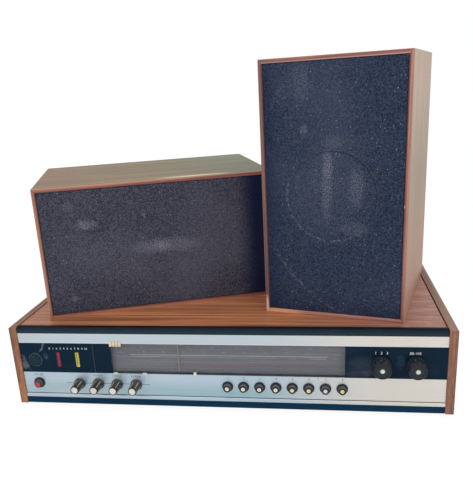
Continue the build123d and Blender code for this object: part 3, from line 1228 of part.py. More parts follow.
def make_baffle(base, name):
    with BuildPart() as baffle:
        half = CAVITY_HALF - FIT_GAP
        board_z = (CAVITY_Z[0] + FIT_GAP, CAVITY_Z[1] - FIT_GAP)
        block(mirrored(half), (CLOTH_BACK, BAFFLE_BACK), board_z, base=base)
        disc(woofer_axis(base), WOOFER_OPENING, CLOTH_BACK, BAFFLE_BACK, Mode.SUBTRACT)
    finish(baffle, name)


def make_cloth(base, name):
    with BuildPart() as cloth:
        half = CAVITY_HALF - FIT_GAP
        cloth_z = (CAVITY_Z[0] + FIT_GAP, CAVITY_Z[1] - FIT_GAP)
        block(mirrored(half), (CLOTH_RECESS, CLOTH_BACK), cloth_z, base=base)
    finish(cloth, name)


def make_woofer_frame(base, name):
    axis = woofer_axis(base)
    front = BAFFLE_BACK
    bore = CONE_RIM_RADIUS + ROLL_WIDTH + CONE_GAP
    ring_back = front + BASKET_RING
    plate_front = front + WOOFER_DEPTH - MAGNET_THICK - PLATE_THICK
    plate_back = plate_front + PLATE_THICK
    magnet_back = plate_back + MAGNET_THICK
    coil_bore = CONE_NECK_RADIUS + CONE_THICK + COIL_GAP
    plate_radius = MAGNET_RADIUS - PLATE_INSET
    with BuildPart() as frame:
        basket_outline = [
            (bore, front),
            (WOOFER_FLANGE_RADIUS, front),
            (WOOFER_FLANGE_RADIUS, front + WOOFER_FLANGE_THICK),
            (bore + WOOFER_FLANGE_THICK, front + WOOFER_FLANGE_THICK),
            (bore + WOOFER_FLANGE_THICK, ring_back),
            (plate_radius, plate_front),
            (plate_radius, plate_back),
            (coil_bore, plate_back),
            (coil_bore, plate_front),
            (plate_radius - BASKET_WALL, plate_front),
            (bore, ring_back),
        ]
        turn(axis, basket_outline)
        magnet_outline = [
            (0, plate_front),
            (CONE_NECK_RADIUS - COIL_GAP, plate_front),
            (CONE_NECK_RADIUS - COIL_GAP, magnet_back),
            (coil_bore + COIL_SHELL, magnet_back),
            (coil_bore + COIL_SHELL, plate_back + INSERT_GAP),
            (MAGNET_RADIUS, plate_back + INSERT_GAP),
            (MAGNET_RADIUS, magnet_back + PLATE_THICK),
            (0, magnet_back + PLATE_THICK),
        ]
        turn(axis, magnet_outline)
    finish(frame, name)


def make_woofer_cone(base, name):
    axis = woofer_axis(base)
    front = BAFFLE_BACK
    rim = CONE_RIM_RADIUS + ROLL_WIDTH
    neck_front = front + WOOFER_DEPTH - MAGNET_THICK - PLATE_THICK - NECK_SETBACK
    neck = CONE_NECK_RADIUS
    coil_back = neck_front + COIL_LENGTH
    cap_front = neck_front - CAP_RISE
    with BuildPart() as cone:
        cone_outline = [
            (0, cap_front),
            (neck * 0.6, cap_front + 1.0),
            (neck + CONE_THICK, neck_front - CONE_THICK),
            (CONE_RIM_RADIUS, front + 3.6),
            (rim - 3.4, front + 2.8),
            (rim - 1.2, front + 2.8),
            (rim, front + 3.6),
            (rim, front + 4.4),
            (rim - 1.4, front + 3.8),
            (rim - 3.2, front + 3.8),
            (CONE_RIM_RADIUS + 0.2, front + 4.6),
            (neck + CONE_THICK, neck_front + CONE_THICK),
            (neck + CONE_THICK, coil_back),
            (neck, coil_back),
            (neck, neck_front),
            (neck * 0.6, cap_front + 2.0),
            (0, cap_front + 1.0),
        ]
        turn(axis, cone_outline)
    finish(cone, name)


for side_name, base in (("left", lying_base()), ("right", standing_base())):
    make_cabinet(base, f"speaker_{side_name}_cabinet")
    make_speaker_back(base, f"speaker_{side_name}_back")
    make_baffle(base, f"speaker_{side_name}_baffle")
    make_cloth(base, f"speaker_{side_name}_cloth")
    make_woofer_frame(base, f"speaker_{side_name}_woofer_frame")
    make_woofer_cone(base, f"speaker_{side_name}_woofer_cone")
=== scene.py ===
"""Dresses the music centre: materials, grille cloths, knobs, printed scales, camera and light."""
import math

import bmesh
import bpy
from mathutils import Matrix, Vector


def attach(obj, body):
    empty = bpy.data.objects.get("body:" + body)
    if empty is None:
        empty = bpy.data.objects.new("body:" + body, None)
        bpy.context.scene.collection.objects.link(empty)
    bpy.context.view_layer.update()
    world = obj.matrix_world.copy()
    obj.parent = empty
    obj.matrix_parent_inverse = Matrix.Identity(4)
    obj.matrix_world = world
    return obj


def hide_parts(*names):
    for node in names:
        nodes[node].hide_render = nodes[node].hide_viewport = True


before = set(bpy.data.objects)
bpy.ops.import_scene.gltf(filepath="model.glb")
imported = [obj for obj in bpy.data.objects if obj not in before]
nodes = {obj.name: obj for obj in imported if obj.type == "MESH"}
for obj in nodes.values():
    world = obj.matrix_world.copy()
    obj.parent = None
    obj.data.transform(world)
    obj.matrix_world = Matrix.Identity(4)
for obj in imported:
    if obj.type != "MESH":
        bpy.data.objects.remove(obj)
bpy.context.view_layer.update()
scene = bpy.context.scene

MM = 0.001

# Planes and places of the CAD that the pieces below sit on, in metres
FACE = -0.1385
SCALE_FRONT = -0.1315
CONTROL_Z = 0.0353
TUNING_Z = 0.068
DIAL_LEFT = -0.1425
DIAL_RIGHT = 0.1483
CASE_TOP = 0.1126
BUTTON_PITCH = 0.02
BUTTON_PLACES = [0.005 + BUTTON_PITCH * i for i in range(8)]
POWER_X = -0.2446
BADGE_CENTRE = (-0.2448, 0.0683)
KNOB_PITCH = 0.0253
KNOB_PLACES = {"volume": -0.1888, "balance": -0.1635, "treble": -0.1382, "bass": -0.1129}
TUNING_PLACES = {"am": 0.19, "fm": 0.2297}
SPEAKER_WIDTH = 0.171
SPEAKER_HEIGHT = 0.305
SPEAKER_WALL = 0.0046
CLOTH_INSET = SPEAKER_WALL + 0.0003
CLOTH_FACE = 0.00075
WOOFER_LEVEL = 0.148
WOOFER_OPENING = 0.052
# Each speaker's near lower corner, its turn, and whether it lies on its side
SPEAKERS = {
    "left": (Vector((-0.2311, -0.1098, CASE_TOP)), math.radians(18.5), True),
    "right": (Vector((0.217, -0.1197, CASE_TOP)), math.radians(-14.1), False),
}

# Sizes that only the pieces and materials have
KNOB_RIBS = 18
TUNING_RIBS = 30
THREAD_PITCH = 0.00115
CLOTH_STEP = 0.0016
TUCK = 0.0018
PRINT_THICK = 0.06 * MM
PRINT_LEFT = -0.118
PRINT_RIGHT = 0.127
PLAIN_TINT = (0.86, 0.7, 0.58, 1.0)

# Wiped and dusty places on the glass's black field: centre, radii, strength and colour
FIELD_SMUDGES = [
    ((0.168, 0.066), (0.023, 0.015), 0.5, (62, 70, 84)),
    ((0.162, 0.056), (0.019, 0.006), 0.5, (66, 72, 80)),
    ((0.176, 0.057), (0.008, 0.005), 0.45, (84, 82, 84)),
    ((0.212, 0.072), (0.007, 0.011), 0.5, (40, 66, 88)),
    ((0.25, 0.06), (0.012, 0.006), 0.3, (34, 52, 68)),
]


def shade(colour):
    """A colour of three numbers from 0 to 255, as linear values. Others stay as they are."""
    if not isinstance(colour, tuple) or len(colour) != 3:
        return colour
    parts = [part / 255 for part in colour]
    return (*[part / 12.92 if part <= 0.04045 else ((part + 0.055) / 1.055) ** 2.4 for part in parts], 1.0)


class Tree:
    """A tree of nodes, with short calls that add to it."""

    def __init__(self, tree):
        self.tree = tree

    def feed(self, socket, value):
        if isinstance(value, bpy.types.NodeSocket):
            self.tree.links.new(value, socket)
        else:
            socket.default_value = value

    def node(self, kind, feeds=None, **settings):
        made = self.tree.nodes.new("ShaderNode" + kind)
        for key, value in settings.items():
            setattr(made, key, value)
        for key, value in (feeds or {}).items():
            self.feed(made.inputs[key], value)
        return made

    def maths(self, operation, *values, clamp=False):
        feeds = dict(enumerate(values))
        return self.node("Math", feeds, operation=operation, use_clamp=clamp).outputs[0]

    def plus(self, first, second):
        return self.maths("ADD", first, second)

    def minus(self, first, second):
        return self.maths("SUBTRACT", first, second)

    def scaled(self, value, gain, base):
        return self.maths("MULTIPLY_ADD", value, gain, base)

    def times(self, *values):
        result = values[0]
        for value in values[1:]:
            result = self.maths("MULTIPLY", result, value)
        return result


class Surface(Tree):
    """A material, with calls for its patterns and colours."""

    def __init__(self, name, rough, metal=0.0, specular=0.5):
        self.material = bpy.data.materials.new(name)
        self.material.use_nodes = True
        super().__init__(self.material.node_tree)
        self.shader = self.tree.nodes["Principled BSDF"]
        self.set("Roughness", rough)
        self.set("Metallic", metal)
        self.set("Specular IOR Level", specular)
        self.coords = self.node("TexCoord").outputs["Object"]

    def set(self, name, value):
        self.feed(self.shader.inputs[name], value)

    def stretch(self, vector, scale=(1, 1, 1), place=(0, 0, 0)):
        return self.node("Mapping", {"Vector": vector, "Scale": scale, "Location": place}).outputs[0]

    def local(self, side):
        """Coordinates along a speaker's front, into it and upwards."""
        corner, turn, _ = SPEAKERS[side]
        moved = self.node("VectorMath", {0: self.coords, 1: corner}, operation="SUBTRACT")
        feeds = {"Vector": moved.outputs[0], "Angle": -turn}
        return self.node("VectorRotate", feeds, rotation_type="Z_AXIS").outputs[0]

    def split(self, vector=None):
        return self.node("SeparateXYZ", {0: self.coords if vector is None else vector}).outputs

    def join(self, x, y, z):
        return self.node("CombineXYZ", {0: x, 1: y, 2: z}).outputs[0]

    def cloud(self, scale, detail=2.0, rough=0.5, twist=0.0, at=None):
        """Noise from 0 to 1. The scale is one number, or one for each axis."""
        at = self.coords if at is None else at
        if isinstance(scale, tuple):
            at, scale = self.stretch(at, scale), 1.0
        feeds = {"Vector": at, "Scale": scale, "Detail": detail, "Roughness": rough, "Distortion": twist}
        return self.node("TexNoise", feeds).outputs["Fac"]

    def ease(self, value, low, high):
        """A smooth rise from 0 at low to 1 at high."""
        feeds = {"Value": value, "From Min": low, "From Max": high}
        return self.node("MapRange", feeds, interpolation_type="SMOOTHSTEP").outputs[0]

    def near(self, value, middle, half, soft):
        """1 within half of the middle, falling to 0 over soft."""
        away = self.maths("ABSOLUTE", self.minus(value, middle))
        return self.ease(away, half + soft, half)

    def from_nearest(self, value, first, pitch):
        """The distance from the nearest of even places."""
        shifted = self.plus(value, pitch / 2 - first)
        return self.minus(self.maths("FLOORED_MODULO", shifted, pitch), pitch / 2)

    def spot(self, across, up, centre, radii, power):
        """1 at a centre, falling to 0 on an ellipse."""
        a = self.maths("DIVIDE", self.minus(across, centre[0]), radii[0])
        b = self.maths("DIVIDE", self.minus(up, centre[1]), radii[1])
        square = self.plus(self.times(a, a), self.times(b, b))
        return self.times(self.ease(square, 1.0, 0.0), power)

    def reach(self, across, up, centre):
        """The distance from a centre."""
        a, b = self.minus(across, centre[0]), self.minus(up, centre[1])
        return self.maths("SQRT", self.plus(self.times(a, a), self.times(b, b)))

    def arc(self, across, up, centre, radius, width, towards, power):
        """A soft ring, strongest towards an angle in degrees and gone on the far side."""
        ring = self.near(self.reach(across, up, centre), radius, 0.0, width)
        angle = math.radians(towards)
        lift = self.times(self.minus(up, centre[1]), math.sin(angle) / radius)
        side = self.scaled(self.minus(across, centre[0]), math.cos(angle) / radius, lift)
        return self.times(ring, self.ease(side, -0.1, 0.7), power)

    def blend(self, factor, first, second, mode="MIX"):
        feeds = {0: factor, 6: shade(first), 7: shade(second)}
        return self.node("Mix", feeds, data_type="RGBA", blend_type=mode).outputs[2]

    def grade(self, value, low, high, first, second):
        """From one colour to a second as a value goes from low to high."""
        return self.blend(self.ease(value, low, high), first, second)

    def lay(self, colour, tone, *masks):
        """A tone laid over a colour, as strongly as the masks' product."""
        return self.blend(self.times(*masks), colour, tone)

    def ramp(self, value, low, high, stops):
        """Colours, as linear values, at places between low and high along a value."""
        spread = self.node("MapRange", {"Value": value, "From Min": low, "From Max": high})
        band = self.node("ValToRGB", {0: spread.outputs[0]})
        while len(band.color_ramp.elements) < len(stops):
            band.color_ramp.elements.new(0.5)
        for element, (place, colour) in zip(band.color_ramp.elements, stops):
            element.position = (place - low) / (high - low)
            element.color = (*colour[:3], 1.0)
        return band.outputs[0]

    def finish(self, colour, relief=None, depth=0.0, rough=None, strength=1.0):
        """Sets the colour, a relief's bump and a roughness of (value, gain, base). Returns the material."""
        self.set("Base Color", colour)
        if rough is not None:
            self.set("Roughness", self.scaled(*rough))
        if relief is not None:
            feeds = {"Height": relief, "Distance": depth, "Strength": strength}
            self.set("Normal", self.node("Bump", feeds).outputs[0])
        return self.material


def veneer(skin, grain, tones, seed):
    """Straight-grained veneer along the vector's X. Returns its colour and its relief."""
    pale, dark, line = tones
    grain = skin.stretch(grain, place=(seed, seed * 0.37, seed * 0.61))
    figure = skin.cloud((2.5, 70, 70), 3.0, 0.55, 0.5, at=grain)
    stripes = skin.cloud((4, 330, 330), 2.5, 0.6, 0.2, at=grain)
    hairs = skin.cloud((14, 1100, 1100), 2.0, 0.6, at=grain)
    pores = skin.cloud((90, 2600, 2600), 1.0, at=grain)
    colour = skin.grade(figure, 0.3, 0.68, dark, pale)
    colour = skin.lay(colour, line, skin.ease(stripes, 0.48, 0.6), 0.75)
    colour = skin.lay(colour, line, skin.ease(hairs, 0.5, 0.66), 0.34)
    colour = skin.lay(colour, line, skin.ease(pores, 0.6, 0.74), 0.45)
    return colour, skin.scaled(hairs, 0.6, skin.times(pores, 0.4))


def make_top_veneer():
    """The top panel's veneer: darker at the left, a painted shadow of the left speaker, pinker and worn at
    the right, and darker along its front, painted shade.
    """
    skin = Surface("top_veneer", 0.42)
    x, y, z = skin.split()
    tones = ((224, 145, 98), (186, 118, 80), (128, 80, 58))
    colour, relief = veneer(skin, skin.coords, tones, 0.0)
    # Painted shadow of the left speaker: darker towards the left
    colour = skin.lay(colour, (142, 88, 60), skin.ease(x, -0.1, -0.25), 0.35)
    colour = skin.lay(colour, (152, 108, 100), skin.ease(x, 0.06, 0.22), 0.66)
    wear_and_highlights = skin.ease(skin.cloud((9, 90, 1), 4.0, 0.7, 2.0), 0.46, 0.64)
    colour = skin.lay(colour, (206, 172, 164), wear_and_highlights, skin.ease(x, 0.16, 0.235), 0.6)
    # Painted shade: darker along the front
    colour = skin.lay(colour, (120, 72, 50), skin.near(y, -0.128, 0.002, 0.004), 0.3)
    return skin.finish(colour, relief, 0.00012, (relief, 0.2, 0.32))


def make_side_veneer(name, front_colour, top_colour, line, seed):
    """The side panels' veneer runs from front to back, and up their front edges."""
    skin = Surface(name, 0.45)
    x, y, z = skin.split()
    side, relief = veneer(skin, skin.join(y, x, z), (top_colour, (136, 92, 68), line), seed)
    upright = skin.join(z, x, y)
    edge, edge_relief = veneer(skin, upright, (front_colour, (128, 84, 64), line), seed + 3)
    fleck = skin.cloud((60, 420, 420), 3.0, 0.7, at=upright)
    edge = skin.lay(edge, line, skin.ease(fleck, 0.5, 0.66), 0.4)
    edge = skin.lay(edge, (214, 156, 120), skin.ease(fleck, 0.5, 0.34), 0.25)
    colour = skin.grade(y, FACE - 0.0007, FACE - 0.0011, side, edge)
    return skin.finish(colour, skin.plus(relief, edge_relief), 0.0001, (relief, 0.2, 0.35))


def make_speaker_veneer(side, faces, seed):
    """A speaker's cabinet: veneered faces, and a redder solid edge round its front."""
    skin = Surface(f"{side}_speaker_veneer", 0.48)
    lying = SPEAKERS[side][2]
    u, v, w = skin.split(skin.local(side))
    grain = skin.join(u, v, w) if lying else skin.join(w, u, v)
    colour, relief = veneer(skin, grain, faces["veneer"], seed)
    # Distances from the front's four edges
    left, right = (0.0, SPEAKER_HEIGHT) if lying else (-SPEAKER_WIDTH, 0.0)
    from_right = skin.minus(right, u)
    from_high = skin.minus(SPEAKER_WIDTH if lying else SPEAKER_HEIGHT, w)
    sideways = skin.maths("MINIMUM", skin.minus(u, left), from_right)
    upways = skin.maths("MINIMUM", w, from_high)
    # The veneer of the two short ends runs across. One long face is tinted along its length in painted
    # light:
    # the right speaker's side paler towards its top, the left speaker's top cooler towards its far end
    across = skin.join(w, u, v) if lying else skin.join(u, w, v)
    end_colour, _ = veneer(skin, across, faces["veneer"], seed + 5)
    colour = skin.grade(sideways if lying else upways, 0.0004, 0.0001, colour, end_colour)
    painted_light_face = skin.ease(from_high if lying else from_right, 0.0004, 0.0001)
    along = skin.ramp(u if lying else w, 0.0, SPEAKER_HEIGHT, faces["tints"])
    colour = skin.blend(1.0, colour, skin.blend(painted_light_face, PLAIN_TINT, along), "MULTIPLY")
    # The front edge, mitred at its corners
    in_side = skin.ease(skin.minus(upways, sideways), -0.0001, 0.0001)
    along_u, _ = veneer(skin, skin.join(u, w, v), faces["edge"], seed + 1)
    along_w, _ = veneer(skin, skin.join(w, u, v), faces["edge"], seed + 2)
    edge = skin.blend(in_side, along_u, along_w)
    # Painted shade across the front edge: darkest at the end beside the other speaker
    edge = skin.blend(1.0, edge, skin.ramp(u, left, right, faces["across"]), "MULTIPLY")
    depth = skin.maths("MINIMUM", sideways, upways)
    # The edge's inner band beside the cloth, in the recess's painted shade; on the right speaker's top and
    # bottom it is pale
    edge = skin.lay(edge, skin.blend(in_side, *faces["inner"]), skin.ease(depth, 0.003, 0.004), 0.8)
    edge = skin.lay(edge, faces["rim"], skin.ease(depth, 0.0009, 0.0003), 0.55)
    mitre = skin.near(skin.minus(upways, sideways), 0.0, 0.00018, 0.00022)
    edge = skin.lay(edge, faces["mitre"], mitre, 0.55)
    colour = skin.grade(v, 0.0012, 0.0008, colour, edge)
    for centre, radii, power, tone in faces["chips_and_reflection"]:
        colour = skin.lay(colour, tone, skin.spot(u, w, centre, radii, power), skin.ease(v, 0.004, 0.001))
    for centre, radii, power, tone in faces["patches"]:
        colour = skin.lay(colour, tone, skin.spot(u, v, centre, radii, power), painted_light_face)
    return skin.finish(colour, relief, 0.0001, (relief, 0.2, 0.38))


def make_aluminium():
    """Anodised strips with a fine lengthways brushing. Painted reflections make them cooler at the left,
    warmer at the right, paler above the window and greener at the plate's foot.
    """
    skin = Surface("brushed_aluminium", 0.34, metal=0.75)
    x, y, z = skin.split()
    fine = skin.cloud((6, 3200, 3200), 2.0, 0.6)
    broad = skin.cloud((9, 60, 60), 2.0, 0.5)
    # Painted reflection: bluer below the top strip, cool at the left and warm at the right
    painted_cool_reflection = skin.grade(z, 0.088, 0.092, (202, 222, 236), (208, 220, 228))
    colour = skin.grade(x, 0.03, 0.2, painted_cool_reflection, (238, 233, 223))
    # Painted reflection: greener towards the plate's foot, left of the middle
    painted_green_reflection = skin.blend(1.0, colour, (206, 230, 222), "MULTIPLY")
    foot = skin.times(skin.ease(z, 0.046, 0.024), skin.ease(z, 0.0198, 0.0205))
    colour = skin.lay(colour, painted_green_reflection, foot, skin.ease(x, 0.12, 0.02), 0.75)
    # Painted highlight: a paler line along the top strip's lower edge
    colour = skin.lay(colour, (236, 240, 244), skin.near(z, 0.092, 0.0004, 0.0005), 0.7)
    # Painted reflection: greyer towards the far left
    colour = skin.lay(colour, (196, 202, 208), skin.ease(x, -0.15, -0.27), 0.35)
    colour = skin.lay(colour, (166, 176, 184), skin.ease(fine, 0.35, 0.75), 0.18)
    colour = skin.lay(colour, (236, 236, 234), skin.ease(broad, 0.55, 0.8), 0.25)
    return skin.finish(colour, fine, 0.00003, (fine, 0.22, 0.3))


def make_gloss_black(name, levels, rough, dust, smudges=(), highlit_edge=None):
    """Moulded or lacquered black with faint wipe marks and settled dust. Its tone follows the height, a
    bluish painted sky reflection, and a painted highlight can run along one edge.
    """
    skin = Surface(name, rough, specular=0.08)
    x, y, z = skin.split()
    wipes = skin.cloud((18, 60, 30), 4.0, 0.65, 1.2)
    specks = skin.cloud(1400.0, 1.0)
    colour = skin.ramp(z, 0.0, 0.12, levels)
    colour = skin.lay(colour, (78, 88, 96), skin.ease(wipes, 0.5, 0.85), dust)
    colour = skin.lay(colour, (130, 134, 136), skin.ease(specks, 0.72, 0.8), dust)
    wander = skin.minus(skin.cloud(150.0, 3.0, 0.6), 0.5)
    for centre, radii, lean, power in smudges:
        leaned = skin.scaled(skin.minus(z, centre[1]), -lean, x)
        moved_x, moved_z = skin.scaled(wander, 0.01, leaned), skin.scaled(wander, -0.012, z)
        mark = skin.spot(moved_x, moved_z, centre, radii, power)
        colour = skin.lay(colour, (104, 108, 116), mark, skin.ease(wipes, 0.2, 0.5))
    # Painted highlight: a paler line where light catches the panel's edge
    if highlit_edge is not None:
        colour = skin.lay(colour, (96, 106, 114), skin.near(x, highlit_edge, 0.0002, 0.0002), 0.6)
    return skin.finish(colour, wipes, 0.00002, (wipes, 0.25, rough - 0.08))


def make_badge():
    """A turned black disc: a rubbed rim, a dark step inside it and a bare, dusty middle."""
    skin = Surface("badge_black", 0.3, specular=0.15)
    x, y, z = skin.split()
    reach = skin.reach(x, z, BADGE_CENTRE)
    wipes = skin.cloud(260.0, 3.0, 0.6, 0.8)
    colour = skin.grade(wipes, 0.4, 0.75, (14, 38, 52), (44, 62, 74))
    colour = skin.lay(colour, (4, 10, 16), skin.near(reach, 0.0074, 0.0003, 0.0004), 0.8)
    rim = skin.ease(reach, 0.0078, 0.0086)
    colour = skin.lay(colour, (72, 88, 98), rim, skin.ease(wipes, 0.25, 0.6), 0.7)
    return skin.finish(colour, wipes, 0.00002, (wipes, 0.2, 0.2))


def make_small_knob_plastic():
    """Dark brown, with painted shade in its grooves, pale painted highlights on its ribs in bands round it,
    and black round its end.
    """
    skin = Surface("knob_brown", 0.3)
    x, y, z = skin.split()
    across = skin.from_nearest(x, KNOB_PLACES["volume"], KNOB_PITCH)
    angle = skin.maths("ARCTAN2", skin.minus(z, CONTROL_Z), across)
    ribs = skin.maths("COSINE", skin.times(angle, KNOB_RIBS))
    # Where round the knob its ribs get a painted highlight
    highlight_bands = skin.maths("COSINE", skin.scaled(angle, 6.0, 0.9))
    out = skin.minus(FACE, y)
    grip = skin.times(skin.ease(out, 0.0042, 0.0048), skin.ease(out, 0.0188, 0.0182))
    grain = skin.cloud((900, 140, 900), 2.0, 0.6)
    colour = skin.grade(grain, 0.35, 0.7, (58, 51, 47), (84, 75, 67))
    # Painted highlights on the rib tops
    wear_and_highlights = skin.times(skin.ease(ribs, -0.2, -0.9), grip, skin.ease(highlight_bands, 0.0, 0.8))
    colour = skin.lay(colour, (216, 206, 190), wear_and_highlights, 0.95)
    # Painted shade in the grooves
    colour = skin.lay(colour, (14, 11, 12), skin.ease(ribs, 0.1, 0.7), grip, 0.9)
    colour = skin.lay(colour, (20, 20, 22), skin.near(out, 0.0036, 0.0004, 0.0004), 0.8)
    colour = skin.grade(out, 0.0184, 0.0189, colour, (24, 23, 25))
    return skin.finish(colour, grain, 0.00003, (grain, 0.2, 0.2))


def make_tuning_plastic():
    """Black, with painted highlights on its flutes, a greyer turned face, a dark groove in it and a ring
    round its dot.
    """
    skin = Surface("tuning_black", 0.3, specular=0.25)
    x, y, z = skin.split()
    am, fm = TUNING_PLACES["am"], TUNING_PLACES["fm"]
    across = skin.minus(skin.maths("ABSOLUTE", skin.minus(x, (am + fm) / 2)), (fm - am) / 2)
    up = skin.minus(z, TUNING_Z)
    ribs = skin.maths("COSINE", skin.times(skin.maths("ARCTAN2", up, across), TUNING_RIBS))
    out = skin.minus(FACE, y)
    grip = skin.times(skin.ease(out, 0.0024, 0.0032), skin.ease(out, 0.0166, 0.016))
    face = skin.ease(out, 0.0168, 0.0171)
    reach = skin.reach(across, up, (0.0, 0.0))
    grain = skin.cloud((700, 160, 700), 3.0, 0.6)
    colour = skin.grade(grain, 0.35, 0.7, (16, 26, 34), (40, 50, 58))
    # Painted highlights on the rib tops, in patches
    wear_and_highlights = skin.times(skin.ease(ribs, -0.1, -0.9), grip, skin.ease(grain, 0.42, 0.62))
    colour = skin.lay(colour, (112, 118, 122), wear_and_highlights, 0.8)
    dusty = skin.grade(grain, 0.3, 0.7, (26, 34, 42), (46, 54, 60))
    colour = skin.blend(face, colour, dusty)
    colour = skin.lay(colour, (12, 18, 24), skin.near(reach, 0.0088, 0.0006, 0.0003), face, 0.55)
    colour = skin.lay(colour, (128, 132, 136), skin.near(reach, 0.0029, 0.0002, 0.0002), face, 0.8)
    return skin.finish(colour, grain, 0.00003, (grain, 0.2, 0.2))


def make_button_plastic():
    """Caps: black, with the flank painted grey as a sheen of light, and black round the tip."""
    skin = Surface("button_cap", 0.32)
    x, y, z = skin.split()
    grain = skin.cloud(800.0, 3.0, 0.6)
    # Painted sheen: the flank lighter than the black plastic round the tip
    painted_sheen_flank = skin.grade(grain, 0.3, 0.7, (74, 78, 92), (104, 108, 120))
    black = skin.grade(grain, 0.35, 0.7, (18, 20, 24), (40, 42, 46))
    tip_out = skin.scaled(skin.ease(x, -0.15, -0.1), 0.001, 0.0058)
    front = skin.ease(skin.minus(skin.minus(FACE, y), tip_out), -0.0004, 0.0)
    return skin.finish(skin.blend(front, painted_sheen_flank, black), grain, 0.00003, (grain, 0.2, 0.22))


def make_tip(name, colour, accent, core):
    """A tip let into a button's end, deeper coloured in its middle."""
    skin = Surface(name, 0.32)
    x, y, z = skin.split()
    across = skin.from_nearest(x, BUTTON_PLACES[0], BUTTON_PITCH)
    reach = skin.reach(across, z, (0.0, CONTROL_Z))
    grain = skin.cloud(900.0)
    tinted = skin.grade(grain, 0.35, 0.75, colour, accent)
    return skin.finish(skin.lay(tinted, core, skin.ease(reach, 0.0013, 0.0008), 0.6), grain, 0.00003)


def make_moulded(name, colour, accent, rough):
    """Moulded plastic with a fine grain and slight unevenness of colour."""
    skin = Surface(name, rough)
    grain = skin.cloud(900.0)
    colour = skin.lay(colour, accent, skin.ease(skin.cloud(60.0, 3.0), 0.35, 0.75), 0.5)
    return skin.finish(skin.lay(colour, accent, grain, 0.18), grain, 0.00004, (grain, 0.15, rough - 0.07))


def make_sheet_metal(name, colour, accent, rough=0.4, metal=0.9):
    """Plated or painted sheet with a cloudy bloom and fine scratches."""
    skin = Surface(name, rough, metal=metal)
    bloom = skin.cloud(45.0, 4.0, 0.6)
    scratches = skin.cloud((40, 900, 300), 2.0, 0.6, 0.6)
    colour = skin.grade(bloom, 0.35, 0.7, colour, accent)
    colour = skin.lay(colour, accent, skin.ease(scratches, 0.6, 0.8), 0.3)
    return skin.finish(colour, scratches, 0.00003, (bloom, 0.3, rough - 0.12))


def make_board(name, colour, accent, scale):
    """Pressed board: short flecks of two colours."""
    skin = Surface(name, 0.85, specular=0.2)
    flecks = skin.cloud(scale, 3.0, 0.7, 1.0, at=skin.stretch(skin.coords, (1, 1, 1.6)))
    mottled = skin.grade(flecks, 0.4, 0.66, colour, accent)
    return skin.finish(skin.lay(mottled, colour, skin.cloud(20.0), 0.3), flecks, 0.0002)


def make_scale():
    """The dial's grey plate, with faint lengthways streaks."""
    skin = Surface("scale_grey", 0.6, specular=0.2)
    streaks = skin.cloud((4, 1, 700), 2.0, 0.6)
    colour = skin.grade(streaks, 0.35, 0.7, (126, 127, 133), (146, 148, 154))
    drift = skin.ease(skin.cloud((6, 1, 40)), 0.4, 0.7)
    return skin.finish(skin.lay(colour, (118, 120, 130), drift, 0.35))


def make_glass():
    """Clear over the dial. The rest has a black field behind it, printed on the glass."""
    skin = Surface("dial_glass_clear", 0.06, specular=0.1)
    x, y, z = skin.split()
    across = skin.near(x, (DIAL_LEFT + DIAL_RIGHT) / 2, (DIAL_RIGHT - DIAL_LEFT) / 2, 0.0002)
    wipes = skin.cloud((14, 1, 34), 4.0, 0.65, 1.5)
    # The black field's blue is a painted sky reflection
    field = skin.lay((7, 34, 52), (34, 50, 64), skin.ease(wipes, 0.45, 0.8), 0.3)
    wander = skin.minus(skin.cloud(130.0, 3.0, 0.6), 0.5)
    moved_x, moved_z = skin.scaled(wander, 0.01, x), skin.scaled(wander, -0.01, z)
    for centre, radii, power, tone in FIELD_SMUDGES:
        mark = skin.spot(moved_x, moved_z, centre, radii, power)
        field = skin.lay(field, tone, mark, skin.ease(wipes, 0.2, 0.5))
    field = skin.lay(field, (6, 10, 16), skin.near(x, DIAL_RIGHT + 0.0004, 0.0002, 0.0003), 0.5)
    haze = skin.grade(wipes, 0.35, 0.75, (112, 116, 122), (132, 134, 138))
    veil = skin.scaled(skin.ease(wipes, 0.4, 0.85), 0.06, 0.14)
    skin.set("Alpha", skin.maths("ADD", veil, skin.minus(1.0, across), clamp=True))
    return skin.finish(skin.blend(across, field, haze), rough=(wipes, 0.16, 0.04))


def make_lenses():
    """Two tinted lenses: red, lighter in its middle, and yellow, darker in its middle, with a pale foot."""
    skin = Surface("indicator_tints", 0.22)
    x, y, z = skin.split()
    red = skin.blend(skin.near(x, -0.213, 0.0004, 0.0018), (108, 2, 54), (148, 8, 76))
    yellow = skin.blend(skin.near(x, -0.1882, 0.0002, 0.0008), (194, 186, 60), (152, 144, 34))
    foot = skin.ease(z, 0.0612, 0.0602)
    yellow = skin.lay(yellow, (236, 232, 214), foot, skin.near(x, -0.1872, 0.0007, 0.0005))
    colour = skin.grade(x, -0.201, -0.2, red, yellow)
    mottle = skin.cloud(500.0)
    return skin.finish(skin.lay(colour, (120, 50, 50), mottle, 0.14), mottle, 0.00005)


def make_pointer_plastic():
    """A pale blade with an orange tip where the dial's numbers are."""
    skin = Surface("pointer_tinted", 0.45)
    x, y, z = skin.split()
    grain = skin.cloud(900.0)
    colour = skin.blend(skin.near(z, 0.0782, 0.0012, 0.0008), (176, 164, 148), (214, 160, 108))
    return skin.finish(skin.lay(colour, (112, 104, 106), grain, 0.3), grain, 0.00004)


